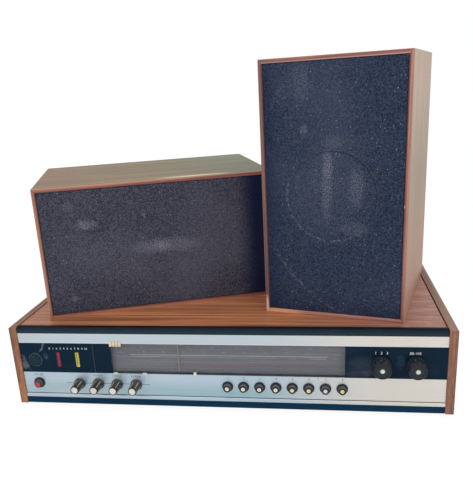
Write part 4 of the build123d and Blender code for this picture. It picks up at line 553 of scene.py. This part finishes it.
def make_grille(side, tones, marks, deep, seed):
    """Fine plain weave, navy black, with faint slubs along both threads, settled dust and pale specks,
    painted shadow arcs and painted shade towards some edges.
    """
    skin = Surface(f"{side}_grille_weave", 0.92, specular=0.12)
    skin.set("Sheen Weight", 0.12)
    skin.set("Sheen Roughness", 0.5)
    u, v, w = skin.split(skin.local(side))
    warp, weft = (skin.maths("SINE", skin.times(way, 2 * math.pi / THREAD_PITCH)) for way in (u, w))
    weave = skin.times(warp, weft)
    flat = skin.join(u, seed, w)
    warp_slubs, weft_slubs = (skin.cloud(scale, 0.0, at=flat) for scale in ((1200, 1, 420), (420, 1, 1200)))
    slubs = skin.plus(warp_slubs, weft_slubs)
    low, middle, high = tones
    colour = skin.grade(slubs, 0.8, 1.2, low, middle)
    colour = skin.lay(colour, high, skin.ease(weave, -0.2, 1.0), 0.35)
    broad = skin.cloud((9, 1, 9), 3.0, at=flat)
    colour = skin.lay(colour, high, skin.ease(broad, 0.45, 0.75), 0.22)
    dust = skin.times(skin.ease(broad, 0.35, 0.75), 0.16)
    drift = skin.minus(skin.cloud(90.0, 3.0, 0.7, at=flat), 0.5)
    moved_u, moved_w = skin.scaled(drift, 0.012, u), skin.scaled(drift, -0.012, w)
    for mark in marks["dust"]:
        dust = skin.plus(dust, skin.spot(moved_u, moved_w, *mark))
    rough_line = skin.ease(skin.cloud(190.0, at=flat), 0.4, 0.62)
    for centre, radius, *rest in marks["arcs"]:
        ring = skin.arc(moved_u if radius > 0.1 else u, w, centre, radius, *rest)
        dust = skin.scaled(ring, rough_line, dust)
    specks = skin.times(skin.ease(skin.cloud(760.0, 1.0, 0.7, at=flat), 0.46, 0.62), dust)
    veil = skin.times(skin.plus(specks, skin.times(dust, 0.16)), 0.58)
    colour = skin.blend(skin.maths("MINIMUM", veil, 0.8), colour, (142, 142, 158))
    # Painted shadow lines along one side of the ring pressed in round the driver's opening
    for shadow_arc in marks["shadow_arcs"]:
        colour = skin.blend(skin.arc(u, w, *shadow_arc), colour, (8, 10, 16))
    crumbs = skin.cloud(560.0, 0.0, at=skin.stretch(flat, place=(3.1, 0, 1.7)))
    colour = skin.lay(colour, (180, 178, 186), skin.ease(crumbs, 0.77, 0.81), 0.6)
    # Painted shade towards the edges that deep lists
    for axis, first, last, power in deep:
        colour = skin.lay(colour, (0, 18, 58), skin.ease({"u": u, "w": w}[axis], first, last), power)
    return skin.finish(colour, skin.scaled(weave, 0.35, slubs), 0.0003, strength=0.7)


def make_ink(name, colour, accent):
    """Printing ink, worn in places."""
    skin = Surface(name, 0.6, specular=0.3)
    return skin.finish(skin.grade(skin.cloud(1100.0), 0.45, 0.75, colour, accent))


# The speakers' faces: tones of the wood, tints of painted light and shade along them, chips, a painted warm
# reflection and worn patches. A chip, reflection or patch is a centre, radii, a strength and a colour.
CHIP = (226, 200, 164)
LEFT_FACES = {
    "veneer": ((170, 152, 120), (144, 129, 100), (106, 93, 70)),
    "tints": [(0.02, (0.84, 0.63, 0.52)), (0.14, (0.8, 0.72, 0.58)), (0.27, (0.62, 0.78, 0.8))],
    "edge": ((186, 128, 106), (160, 104, 84), (122, 74, 60)),
    "across": [(0.0, (0.92, 0.9, 0.9)), (0.1, (1.0, 1.0, 1.0)), (0.285, (0.8, 0.76, 0.8))],
    "inner": ((132, 66, 58), (96, 50, 46)),
    "rim": (214, 162, 138),
    "mitre": (120, 70, 54),
    "chips_and_reflection": [((0.0941, 0.1651), (0.0016, 0.0011), 0.9, CHIP)],
    "patches": [((0.205, 0.009), (0.062, 0.0065), 0.95, (240, 220, 190))],
}
RIGHT_FACES = {
    "veneer": ((196, 175, 154), (182, 158, 137), (168, 138, 120)),
    "tints": [(0.05, (0.82, 0.61, 0.53)), (0.17, (0.72, 0.73, 0.69)), (0.26, (1.0, 1.0, 1.0))],
    "edge": ((196, 134, 116), (162, 108, 94), (122, 74, 64)),
    "across": [(-0.171, (0.4, 0.46, 0.52)), (-0.162, (0.6, 0.64, 0.68)), (-0.12, (1.0, 1.0, 1.0))],
    "inner": ((190, 142, 138), (92, 48, 52)),
    "rim": (168, 128, 112),
    "mitre": (196, 142, 112),
    "chips_and_reflection": [
        ((-0.169, 0.009), (0.0022, 0.017), 0.9, (226, 192, 184)),
        # Not a chip: a painted warm reflection along the bottom of the front edge
        ((-0.15, 0.002), (0.032, 0.005), 0.9, (232, 170, 128)),
        ((-0.005, 0.1397), (0.0016, 0.0024), 0.9, CHIP),
    ],
    "patches": [],
}

# The cloths' marks. Dust is a centre, radii and a strength. A dust arc and a painted shadow arc are each a
# centre, a radius, a width, a direction and a strength.
LEFT_MARKS = {
    "dust": [
        ((0.061, 0.121), (0.02, 0.007), 0.75), ((0.06, 0.121), (0.008, 0.006), 0.4),
        ((0.042, 0.146), (0.01, 0.008), 0.5), ((0.155, 0.085), (0.013, 0.008), 0.8),
        ((0.16, 0.085), (0.058, 0.013), 0.7), ((0.036, 0.024), (0.006, 0.005), 0.8),
        ((0.1, 0.075), (0.08, 0.04), 0.25), ((0.134, 0.128), (0.002, 0.002), 1.5),
        ((0.036, 0.109), (0.0015, 0.0015), 1.5), ((0.084, 0.046), (0.004, 0.003), 0.7),
    ],
    "arcs": [], "shadow_arcs": [],
}
CIRCLE = (-0.0868, 0.1495)
RIGHT_MARKS = {
    "dust": [
        ((-0.119, 0.227), (0.006, 0.008), 0.7), ((-0.122, 0.28), (0.014, 0.028), 0.32),
        ((-0.091, 0.186), (0.009, 0.02), 0.55), ((-0.092, 0.16), (0.008, 0.055), 0.5),
        ((-0.058, 0.16), (0.012, 0.028), 0.5), ((-0.085, 0.212), (0.016, 0.01), 0.35),
        ((-0.086, 0.15), (0.06, 0.07), 0.22), ((-0.06, 0.112), (0.024, 0.01), 0.35),
    ],
    "arcs": [
        (CIRCLE, 0.053, 0.0022, 228, 1.1), (CIRCLE, 0.053, 0.0014, 60, 0.4),
        ((0.0, 0.168), 0.178, 0.003, 222, 0.7),
    ],
    "shadow_arcs": [(CIRCLE, 0.0518, 0.0012, 35, 0.45), (CIRCLE, 0.0525, 0.001, 110, 0.3)],
}
LEFT_TONES = ((38, 40, 55), (78, 78, 93), (96, 96, 112))
RIGHT_TONES = ((19, 31, 51), (54, 66, 88), (70, 82, 105))

# The indicator panel's smudges: centre, radii, lean and strength
PANEL_SMUDGES = [
    ((-0.2345, 0.0855), (0.002, 0.0085), 0.55, 0.9),
    ((-0.2598, 0.059), (0.0065, 0.007), 0.0, 0.8),
    ((-0.261, 0.0665), (0.004, 0.009), 0.0, 0.5),
    ((-0.23, 0.072), (0.0035, 0.006), 0.0, 0.35),
    ((-0.147, 0.069), (0.003, 0.003), 0.0, 0.35),
]

# Heights, and the blacks' colours there: a bluish painted sky reflection
TRIM_LEVELS = [
    (0.0144, shade((8, 51, 78))), (0.015, shade((30, 50, 61))), (0.108, shade((36, 54, 66))),
    (0.113, shade((18, 24, 34))),
]
PANEL_LEVELS = [(0.0, shade((8, 36, 54))), (0.12, shade((8, 36, 54)))]
BLACK_PLASTIC = make_moulded("control_black", (30, 31, 33), (58, 57, 56), 0.34)
KNOB_BROWN = make_small_knob_plastic()
TUNING_BLACK = make_tuning_plastic()
BUTTON_CAP = make_button_plastic()
PALE = make_moulded("pale_plastic_cream", (238, 228, 206), (212, 196, 166), 0.45)
BRIGHT_STEEL = make_sheet_metal("zinc_plate", (150, 152, 156), (188, 190, 192), 0.32)
FINISHES = [
    (make_side_veneer("side_veneer_left", (182, 121, 78), (158, 111, 72), (106, 62, 38), 1.3),
     "side_panel_left"),
    (make_side_veneer("side_veneer_right", (156, 106, 84), (172, 140, 122), (112, 72, 58), 2.6),
     "side_panel_right"),
    (make_top_veneer(), "top_panel"),
    (make_speaker_veneer("left", LEFT_FACES, 4.2), "speaker_left_cabinet"),
    (make_speaker_veneer("right", RIGHT_FACES, 7.7), "speaker_right_cabinet"),
    (make_aluminium(), "facia_strips control_plate"),
    (make_gloss_black("trim_black", TRIM_LEVELS, 0.3, 0.15), "facia_frame"),
    (make_gloss_black("panel_black", PANEL_LEVELS, 0.16, 0.14, PANEL_SMUDGES, -0.1658), "indicator_panel"),
    (make_badge(), "badge_disc"),
    (make_lenses(), "indicator_lenses"),
    (make_glass(), "dial_glass"),
    (make_scale(), "scale_plate"),
    (make_pointer_plastic(), "am_pointer fm_pointer"),
    (PALE, "glass_clips am_drum fm_drum"),
    (BLACK_PLASTIC, "dial_lamps button_bezels switch_bank rear_sockets"),
    (BRIGHT_STEEL, "potentiometers am_capacitor pointer_rails case_screws"),
    (make_moulded("foot_rubber", (24, 24, 25), (46, 46, 46), 0.8), "feet"),
    (make_sheet_metal("passivated_steel", (150, 146, 128), (176, 172, 158)), "chassis fm_tuner_box"),
    (make_sheet_metal("base_enamel", (46, 48, 50), (62, 64, 66), 0.5, 0.1), "base_plate"),
    (make_sheet_metal("sink_anodised", (30, 30, 32), (50, 50, 54), 0.45, 0.6),
     "heat_sink speaker_left_woofer_frame speaker_right_woofer_frame"),
    (make_sheet_metal("core_varnish", (70, 64, 58), (100, 90, 80), 0.5, 0.5), "mains_transformer"),
    (make_board("hardboard_brown", (96, 68, 46), (122, 90, 62), 700.0),
     "back_panel speaker_left_back speaker_right_back"),
    (make_board("chipboard_raw", (150, 122, 88), (176, 150, 112), 320.0),
     "speaker_left_baffle speaker_right_baffle"),
    (make_board("circuit_paper", (132, 92, 50), (150, 110, 62), 400.0), "circuit_boards"),
    (make_board("cord_thread", (190, 184, 164), (150, 142, 120), 1500.0), "dial_cords"),
    (make_board("cone_pulp", (28, 28, 30), (48, 48, 50), 900.0),
     "speaker_left_woofer_cone speaker_right_woofer_cone"),
]
for material, node_names in FINISHES:
    for node_name in node_names.split():
        for slot in nodes[node_name].material_slots:
            slot.material = material

WHITE = make_moulded("disc_white", (232, 230, 226), (206, 202, 196), 0.35)
RED = make_moulded("tip_red", (206, 54, 80), (160, 30, 52), 0.3)
CREAM = make_tip("tip_cream", (255, 244, 226), (240, 220, 194), (232, 176, 140))
YELLOW = make_tip("tip_yellow", (250, 238, 172), (228, 204, 128), (214, 168, 88))
PALE_INK = make_ink("ink_pale", (206, 208, 210), (172, 174, 176))
FAINT_INK = make_ink("ink_faint", (176, 178, 176), (148, 150, 150))
RED_INK = make_ink("ink_red", (176, 92, 100), (152, 98, 106))
WHITE_INK = make_ink("ink_white", (236, 238, 240), (206, 210, 214))
DARK_INK = make_ink("ink_dark", (40, 46, 52), (66, 72, 78))


def add_object(name, data):
    made = bpy.data.objects.new(name, data)
    scene.collection.objects.link(made)
    return made


def mesh_of(maker, name):
    mesh = bpy.data.meshes.new(name)
    maker.to_mesh(mesh)
    maker.free()
    return mesh


def add_piece(name, mesh, material, body):
    """Puts a mesh in the scene as a piece that rides on a body."""
    piece = add_object(name, mesh)
    mesh.materials.append(material)
    for face in mesh.polygons:
        face.use_smooth = True
    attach(piece, body)
    return piece


def base_matrix(axes, origin):
    """A matrix that takes X, Y and Z to three axes, and 0 to an origin."""
    return Matrix([(*[axis[i] for axis in axes], origin[i]) for i in range(3)] + [(0, 0, 0, 1)])


def speaker_matrix(side):
    """A speaker's base: X across its front, Y into it, Z up its height."""
    corner, turn, lying = SPEAKERS[side]
    along = Vector((math.cos(turn), math.sin(turn), 0))
    inward = Vector((-along.y, along.x, 0))
    across, height = (Vector((0, 0, -1)), along) if lying else (along, Vector((0, 0, 1)))
    return base_matrix((across, inward, height), corner - across * (SPEAKER_WIDTH / 2))


def grid_lines(low, high):
    """Even lines, with closer ones near both ends for the tucked edge."""
    close = [0.0, 0.00025, 0.0006, 0.0011]
    count = round((high - low - 2 * TUCK) / CLOTH_STEP)
    even = [low + TUCK + (high - low - 2 * TUCK) * i / count for i in range(count + 1)]
    return [low + gap for gap in close] + even + [high - gap for gap in reversed(close)]


def make_cloth(side, material):
    """A cloth stretched over the baffle, tucked at its edges and pressed in round the driver's opening."""
    half = SPEAKER_WIDTH / 2 - CLOTH_INSET
    low, high = CLOTH_INSET, SPEAKER_HEIGHT - CLOTH_INSET
    xs = grid_lines(-half, half)
    zs = grid_lines(low, high)
    maker = bmesh.new()
    rows = []
    for z in zs:
        row = []
        for x in xs:
            edge = min(x + half, half - x, z - low, high - z)
            tuck = max(0.0, 1.0 - edge / TUCK)
            y = CLOTH_FACE + 0.001 * tuck * tuck
            radius = math.hypot(x, z - WOOFER_LEVEL)
            y += 0.00055 * math.exp(-((radius - WOOFER_OPENING) / 0.0016) ** 2)
            y += 0.0003 * max(0.0, 1.0 - (radius / WOOFER_OPENING) ** 2)
            row.append(maker.verts.new((x, y, z)))
        rows.append(row)
    for lower, upper in zip(rows, rows[1:]):
        for i in range(len(xs) - 1):
            maker.faces.new((lower[i], lower[i + 1], upper[i + 1], upper[i]))
    maker.transform(speaker_matrix(side))
    name = f"{side}_grille_cloth"
    piece = add_piece(name, mesh_of(maker, name), material, f"speaker_{side}")
    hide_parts(f"speaker_{side}_cloth")


# The lists of edges are painted shade: the left cloth towards its end beside the right speaker, the right
# cloth towards its left end and its foot
make_cloth("left", make_grille("left", LEFT_TONES, LEFT_MARKS, [("u", 0.252, 0.284, 0.9)], 0.3))
RIGHT_PAINTED_SHADE = [("u", -0.14, -0.172, 0.6), ("w", 0.03, 0.0, 0.35)]
make_cloth("right", make_grille("right", RIGHT_TONES, RIGHT_MARKS, RIGHT_PAINTED_SHADE, 5.3))


def groove(angle, out, count, deep, first, last, fade):
    """How deep a knob's flutes cut it, fading out at both ends of its grip."""
    ends = min(1.0, (out - first) / fade, (last - out) / fade)
    return deep * max(0.0, math.cos(count * angle)) * max(0.0, ends)


def lathe(maker, x, z, outline, segments, flutes=None):
    """A turned skin about a line out of the facia. Its outline is radii and distances out, in mm."""
    rings = []
    for radius, out in outline:
        ring = []
        for i in range(segments):
            angle = 2 * math.pi * i / segments
            reach = (radius - groove(angle, out, *flutes) if flutes else radius) * MM
            place = (x + reach * math.cos(angle), FACE - out * MM, z + reach * math.sin(angle))
            ring.append(maker.verts.new(place))
        rings.append(ring)
    for lower, upper in zip(rings, rings[1:]):
        for i in range(segments):
            j = (i + 1) % segments
            maker.faces.new((lower[i], lower[j], upper[j], upper[i]))
    maker.faces.new(rings[-1])
    maker.faces.new(list(reversed(rings[0])))


def add_block(maker, *spans):
    """A box with a low and a high end along each axis. Returns its corners."""
    corners = bmesh.ops.create_cube(maker, size=1.0)["verts"]
    bmesh.ops.scale(maker, vec=[high - low for low, high in spans], verts=corners)
    bmesh.ops.translate(maker, vec=[(low + high) / 2 for low, high in spans], verts=corners)
    return corners


def finish_piece(maker, name, material, body, sharp=40.0):
    """Makes a piece of what a bmesh holds, with edges beyond an angle in degrees left sharp."""
    bmesh.ops.recalc_face_normals(maker, faces=maker.faces)
    mesh = mesh_of(maker, name)
    piece = add_piece(name, mesh, material, body)
    mesh.set_sharp_from_angle(angle=math.radians(sharp))
    return piece


def rounded(points, radius, steps=3):
    """An outline with its corners rounded."""
    points = [Vector(p) for p in points]
    result = [points[0]]
    for before, corner, after in zip(points, points[1:], points[2:]):
        reach = min(radius, (before - corner).length / 2.1, (after - corner).length / 2.1)
        start = corner + (before - corner).normalized() * reach
        end = corner + (after - corner).normalized() * reach
        for i in range(steps + 1):
            t = i / steps
            result.append(start * (1 - t) ** 2 + corner * 2 * t * (1 - t) + end * t * t)
    result.append(points[-1])
    return [tuple(p) for p in result]


def turned_piece(name, material, body, x, z, outline, segments):
    """A piece of one lathed skin."""
    maker = bmesh.new()
    lathe(maker, x, z, outline, segments)
    finish_piece(maker, name, material, body)


def make_grip(name, material, body, x, z, outline, corner, parts, segments, flutes):
    """A knob's fluted outside. Long slopes of its outline are cut in parts, so that the flutes can fade."""
    outline = rounded(outline, corner)
    steps = []
    for (r0, h0), (r1, h1) in zip(outline, outline[1:]):
        count = parts if h1 - h0 > 5.0 else 1
        steps += [(r0 + (r1 - r0) * i / count, h0 + (h1 - h0) * i / count) for i in range(count)]
    maker = bmesh.new()
    lathe(maker, x, z, steps + outline[-1:], segments, flutes)
    return finish_piece(maker, name, material, body, 50.0)


def make_small_knob(name, x):
    """A ribbed knob with a smooth foot and lip, and a pale domed disc in its end."""
    body = f"{name}_knob_body"
    outline = [(3.2, 0.5), (7.5, 0.5), (7.5, 2.4), (6.7, 3.1), (6.5, 4.5), (5.55, 18.8), (5.3, 20.0),
               (4.35, 20.0), (4.3, 19.2)]
    flutes = (KNOB_RIBS, 0.42, 4.4, 18.8, 0.6)
    grip = make_grip(f"{name}_knob_grip", KNOB_BROWN, body, x, CONTROL_Z, outline, 0.35, 6, 144, flutes)
    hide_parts(f"{name}_knob")
    dome = [(4.16, 19.1), (4.2, 19.95), (4.06, 20.1), (3.4, 20.16), (1.8, 20.19), (0.5, 20.2)]
    turned_piece(f"{name}_knob_disc", WHITE, body, x, CONTROL_Z, dome, 48)


def make_tuning_knob(name, x):
    """A large fluted knob with a plain foot, a turned face, a pale centre dot, and its cord wheel behind."""
    body = f"{name}_tuning_knob_body"
    outline = [(3.2, 0.5), (11.5, 0.5), (11.5, 1.6), (11.0, 2.2), (10.9, 3.0), (10.6, 16.3), (9.8, 17.5),
               (8.4, 17.5), (8.0, 17.1), (3.1, 17.1), (2.6, 17.4), (2.5, 16.9)]
    flutes = (TUNING_RIBS, 0.55, 2.6, 16.5, 0.5)
    grip = make_grip(f"{name}_tuning_grip", TUNING_BLACK, body, x, TUNING_Z, outline, 0.3, 5, 240, flutes)
    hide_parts(f"{name}_tuning_knob")
    dome = [(2.4, 16.9), (2.44, 17.3), (2.3, 17.42), (1.6, 17.48), (0.4, 17.5)]
    turned_piece(f"{name}_tuning_dot", WHITE, body, x, TUNING_Z, dome, 40)
    maker = bmesh.new()
    lathe(maker, x, TUNING_Z, [(3.0, -36.8), (3.0, 13.0)], 32)
    wheel = [(3.05, -36.5), (17.0, -36.5), (18.0, -35.5), (18.0, -29.5), (17.0, -28.5), (3.05, -28.5)]
    lathe(maker, x, TUNING_Z, rounded(wheel, 0.5), 64)
    finish_piece(maker, f"{name}_tuning_spindle", BRIGHT_STEEL, body)


def make_button(name, x, proud, tip, grow=0.0):
    """A push-button: a satin cap with a coloured tip let into its end, on a flat stem."""
    maker = bmesh.new()
    cap = [(0.4, -5.5), (4.65, -5.5), (4.65, proud), (2.55 + grow, proud), (2.45 + grow, proud - 0.75)]
    lathe(maker, x, CONTROL_Z, rounded(cap, 0.55), 64)
    add_block(
        maker, (x - 1.5 * MM, x + 1.5 * MM), (FACE + 5.5 * MM, FACE + 42.5 * MM),
        (CONTROL_Z - 2.5 * MM, CONTROL_Z + 2.5 * MM),
    )
    piece = finish_piece(maker, f"{name}_cap", BUTTON_CAP, f"{name}_body")
    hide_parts(name)
    dome = [(2.35 + grow, proud - 0.7), (2.38 + grow, proud + 0.1), (2.2 + grow, proud + 0.2),
            (1.5 + grow, proud + 0.28), (0.4 + grow, proud + 0.3)]
    turned_piece(f"{name}_tip", tip, f"{name}_body", x, CONTROL_Z, dome, 40)


for knob_name, knob_x in KNOB_PLACES.items():
    make_small_knob(knob_name, knob_x)
for knob_name, knob_x in TUNING_PLACES.items():
    make_tuning_knob(knob_name, knob_x)
TIPS = (CREAM, CREAM, CREAM, CREAM, YELLOW, YELLOW, WHITE, YELLOW)
for number, (button_x, tip) in enumerate(zip(BUTTON_PLACES, TIPS), 1):
    make_button(f"push_button_{number}", button_x, 7.5, tip)
make_button("power_button", POWER_X, 6.5, RED, 1.1)


def add_strip(maker, x_span, z_span, y=SCALE_FRONT):
    """A thin printed line on a surface at y."""
    add_block(maker, x_span, (y - PRINT_THICK, y), z_span)


def add_number(maker, words, x, z, height, y=SCALE_FRONT):
    """Printed figures, centred at x and z, on a surface at y."""
    curve = bpy.data.curves.new("figures", "FONT")
    curve.body = words
    curve.size = height * 1.4
    curve.align_x = "CENTER"
    curve.align_y = "CENTER"
    curve.extrude = PRINT_THICK / 2
    curve.resolution_u = 2
    holder = add_object("figures", curve)
    bpy.context.view_layer.update()
    shape = bpy.data.meshes.new_from_object(holder.evaluated_get(bpy.context.evaluated_depsgraph_get()))
    shape.transform(Matrix.Translation((x, y - PRINT_THICK / 2, z)) @ Matrix.Rotation(math.pi / 2, 4, "X"))
    maker.from_mesh(shape)
    bpy.data.objects.remove(holder)
    bpy.data.curves.remove(curve)
    bpy.data.meshes.remove(shape)


# The dial's pale print: its main line, that line's ends, and two short lines below it
maker = bmesh.new()
add_strip(maker, (PRINT_LEFT, PRINT_RIGHT), (0.0733, 0.0742))
for line_end in (PRINT_LEFT, 0.1265):
    add_strip(maker, (line_end - 0.0003, line_end + 0.0003), (0.0728, 0.0752))
for span in ((PRINT_LEFT, -0.082), (0.106, 0.1262)):
    add_strip(maker, span, (0.0708, 0.0714))
finish_piece(maker, "scale_print_pale", PALE_INK, "receiver")

# The dial's fainter lines, ticks and figures
maker = bmesh.new()
add_strip(maker, (PRINT_LEFT, 0.128), (0.0868, 0.0872))
add_strip(maker, (-0.082, 0.065), (0.0708, 0.0714))
add_strip(maker, (PRINT_LEFT, PRINT_RIGHT), (0.0655, 0.0657))
for i in range(25):
    tick = PRINT_LEFT + 0.0102 * i
    add_strip(maker, (tick, tick + 0.0003), (0.0742, 0.0751))
for i, figures in enumerate(("55", "60", "70", "80", "100", "120", "140", "160")):
    add_number(maker, figures, -0.103 + 0.03 * i, 0.0842, 2.5 * MM)
for i in range(9):
    add_number(maker, str(88 + 2 * i), -0.101 + 0.0255 * i, 0.078, 2.6 * MM)
for x, z, figures in (
    (-0.132, 0.0762, "88-104"), (-0.132, 0.0711, "55-160"), (0.1385, 0.0776, "MHz"),
    (0.1385, 0.0716, "kHz"), (0.086, 0.0709, "0-10"),
):
    add_number(maker, figures, x, z, 2.5 * MM)
finish_piece(maker, "scale_print_faint", FAINT_INK, "receiver")

# The dial's red line
maker = bmesh.new()
add_strip(maker, (-0.061, PRINT_RIGHT), (0.0598, 0.0608))
finish_piece(maker, "scale_print_red", RED_INK, "receiver")

# Figures over the indicators and the tuning knobs
maker = bmesh.new()
for i in range(11):
    add_number(maker, str(i), -0.224 + 0.0049 * i, 0.084, 2.8 * MM, FACE)
for knob_x, figures in ((0.1834, "1"), (0.19, "2"), (0.1966, "3"), (0.2284, "88-108")):
    add_number(maker, figures, knob_x, 0.0832, 3.3 * MM, FACE)
finish_piece(maker, "glass_print", WHITE_INK, "receiver")

# The control plate's line and figures
maker = bmesh.new()
add_strip(maker, (-0.207, -0.095), (0.0353, 0.0358), FACE)
add_strip(maker, (0.1162, 0.1167), (0.0466, 0.0496), FACE)
for number, button_x in enumerate(BUTTON_PLACES, 1):
    add_number(maker, str(number), button_x + 0.0005, 0.0473, 2.6 * MM, FACE)
for knob_x in list(KNOB_PLACES.values())[1:]:
    add_number(maker, "0 2 4 6 8", knob_x, 0.0467, 2.4 * MM, FACE)
add_number(maker, "ON  OFF", -0.2442, 0.0466, 2.4 * MM, FACE)
finish_piece(maker, "plate_print", DARK_INK, "receiver")


def add_clip(maker, x_span, z_span, thick, edge):
    """A small block with rounded edges, its back on the facia's plane."""
    corners = add_block(maker, x_span, (FACE - thick, FACE), z_span)
    edges = list(dict.fromkeys(e for v in corners for e in v.link_edges))
    bmesh.ops.bevel(maker, geom=edges, offset=edge, segments=3, affect="EDGES", profile=0.6)


# Pale clips: a comb of four rounded teeth over the glass's upper edge, and three blocks at its lower edge
maker = bmesh.new()
for i in range(4):
    tooth = 0.004 * i - 0.143
    add_clip(maker, (tooth, tooth + 0.0034), (0.0879, 0.0951), MM, 0.001)
add_clip(maker, (-0.1426, -0.1278), (0.09, 0.0926), 0.5 * MM, 0.0002)
add_clip(maker, (-0.037, -0.0334), (0.0499, 0.0541), MM, 0.0003)
for x in (-0.1004, -0.1384):
    add_clip(maker, (x - 0.0027, x + 0.0027), (0.0499, 0.0519), 0.6 * MM, 0.0002)
clips = finish_piece(maker, "pale_clips", PALE, "receiver", 50.0)
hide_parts("glass_clips")

# Floor and background
floor_maker = bmesh.new()
bmesh.ops.create_grid(floor_maker, x_segments=1, y_segments=1, size=9.0)
floor_mesh = mesh_of(floor_maker, "floor")
floor = add_object("floor", floor_mesh)
ground = Surface("pale_floor", 0.9, specular=0.1)
ground.set("Base Color", shade((244, 244, 244)))
seen = ground.times(ground.node("LightPath").outputs["Is Camera Ray"], 0.86)
white = ground.node("Emission", {"Strength": 1.07}).outputs[0]
mixed = ground.node("MixShader", {0: seen, 1: ground.shader.outputs[0], 2: white})
ground.feed(ground.tree.nodes["Material Output"].inputs["Surface"], mixed.outputs[0])
floor_mesh.materials.append(ground.material)

world = bpy.data.worlds.new("studio")
world.use_nodes = True
scene.world = world
sky = Tree(world.node_tree)
paths = sky.node("LightPath").outputs
plain = sky.maths("ADD", paths["Is Camera Ray"], paths["Is Transmission Ray"], clamp=True)
backdrop = world.node_tree.nodes["Background"].inputs
backdrop["Color"].default_value = (1, 1, 1, 1)
sky.feed(backdrop["Strength"], sky.scaled(plain, 0.22, 0.78))


def add_lamp(name, place, target, size, watts):
    lamp = bpy.data.lights.new(name, "AREA")
    lamp.shape = "RECTANGLE"
    lamp.size, lamp.size_y = size
    lamp.energy = watts
    holder = add_object(name, lamp)
    holder.location = place
    holder.rotation_mode = "QUATERNION"
    holder.rotation_quaternion = (Vector(target) - Vector(place)).to_track_quat("-Z", "Y")


add_lamp("key", (-0.8, -1.6, 1.9), (0, 0, 0.15), (2.6, 2.0), 13.0)
add_lamp("fill", (1.7, -0.7, 1.1), (0, 0, 0.2), (1.4, 1.4), 5.0)

# The photograph's camera, solved from the straight edges of the three boxes
YAW, PITCH, ROLL = 0.171091, 0.311849, -0.060347
CAMERA_PLACE = (0.120288, -0.798182, 0.39426)
FOCAL_PIXELS = 599.925
PHOTO_WIDTH, PHOTO_HEIGHT = 473, 500
AXIS_X, AXIS_Y = 222.16, 277.24
SENSOR = 36.0
ahead = Vector((-math.sin(YAW) * math.cos(PITCH), math.cos(YAW) * math.cos(PITCH), -math.sin(PITCH)))
level_right = Vector((math.cos(YAW), math.sin(YAW), 0))
level_up = level_right.cross(ahead)
right = level_right * math.cos(ROLL) + level_up * math.sin(ROLL)
up = level_up * math.cos(ROLL) - level_right * math.sin(ROLL)
lens = bpy.data.cameras.new("camera")
lens.sensor_width = SENSOR
lens.lens = FOCAL_PIXELS / PHOTO_HEIGHT * SENSOR
lens.shift_x = (PHOTO_WIDTH / 2 - AXIS_X) / PHOTO_HEIGHT
lens.shift_y = (AXIS_Y - PHOTO_HEIGHT / 2) / PHOTO_HEIGHT
camera = add_object("camera", lens)
camera.matrix_world = base_matrix((right, up, -ahead), CAMERA_PLACE)
scene.camera = camera
scene.view_settings.view_transform = "Standard"
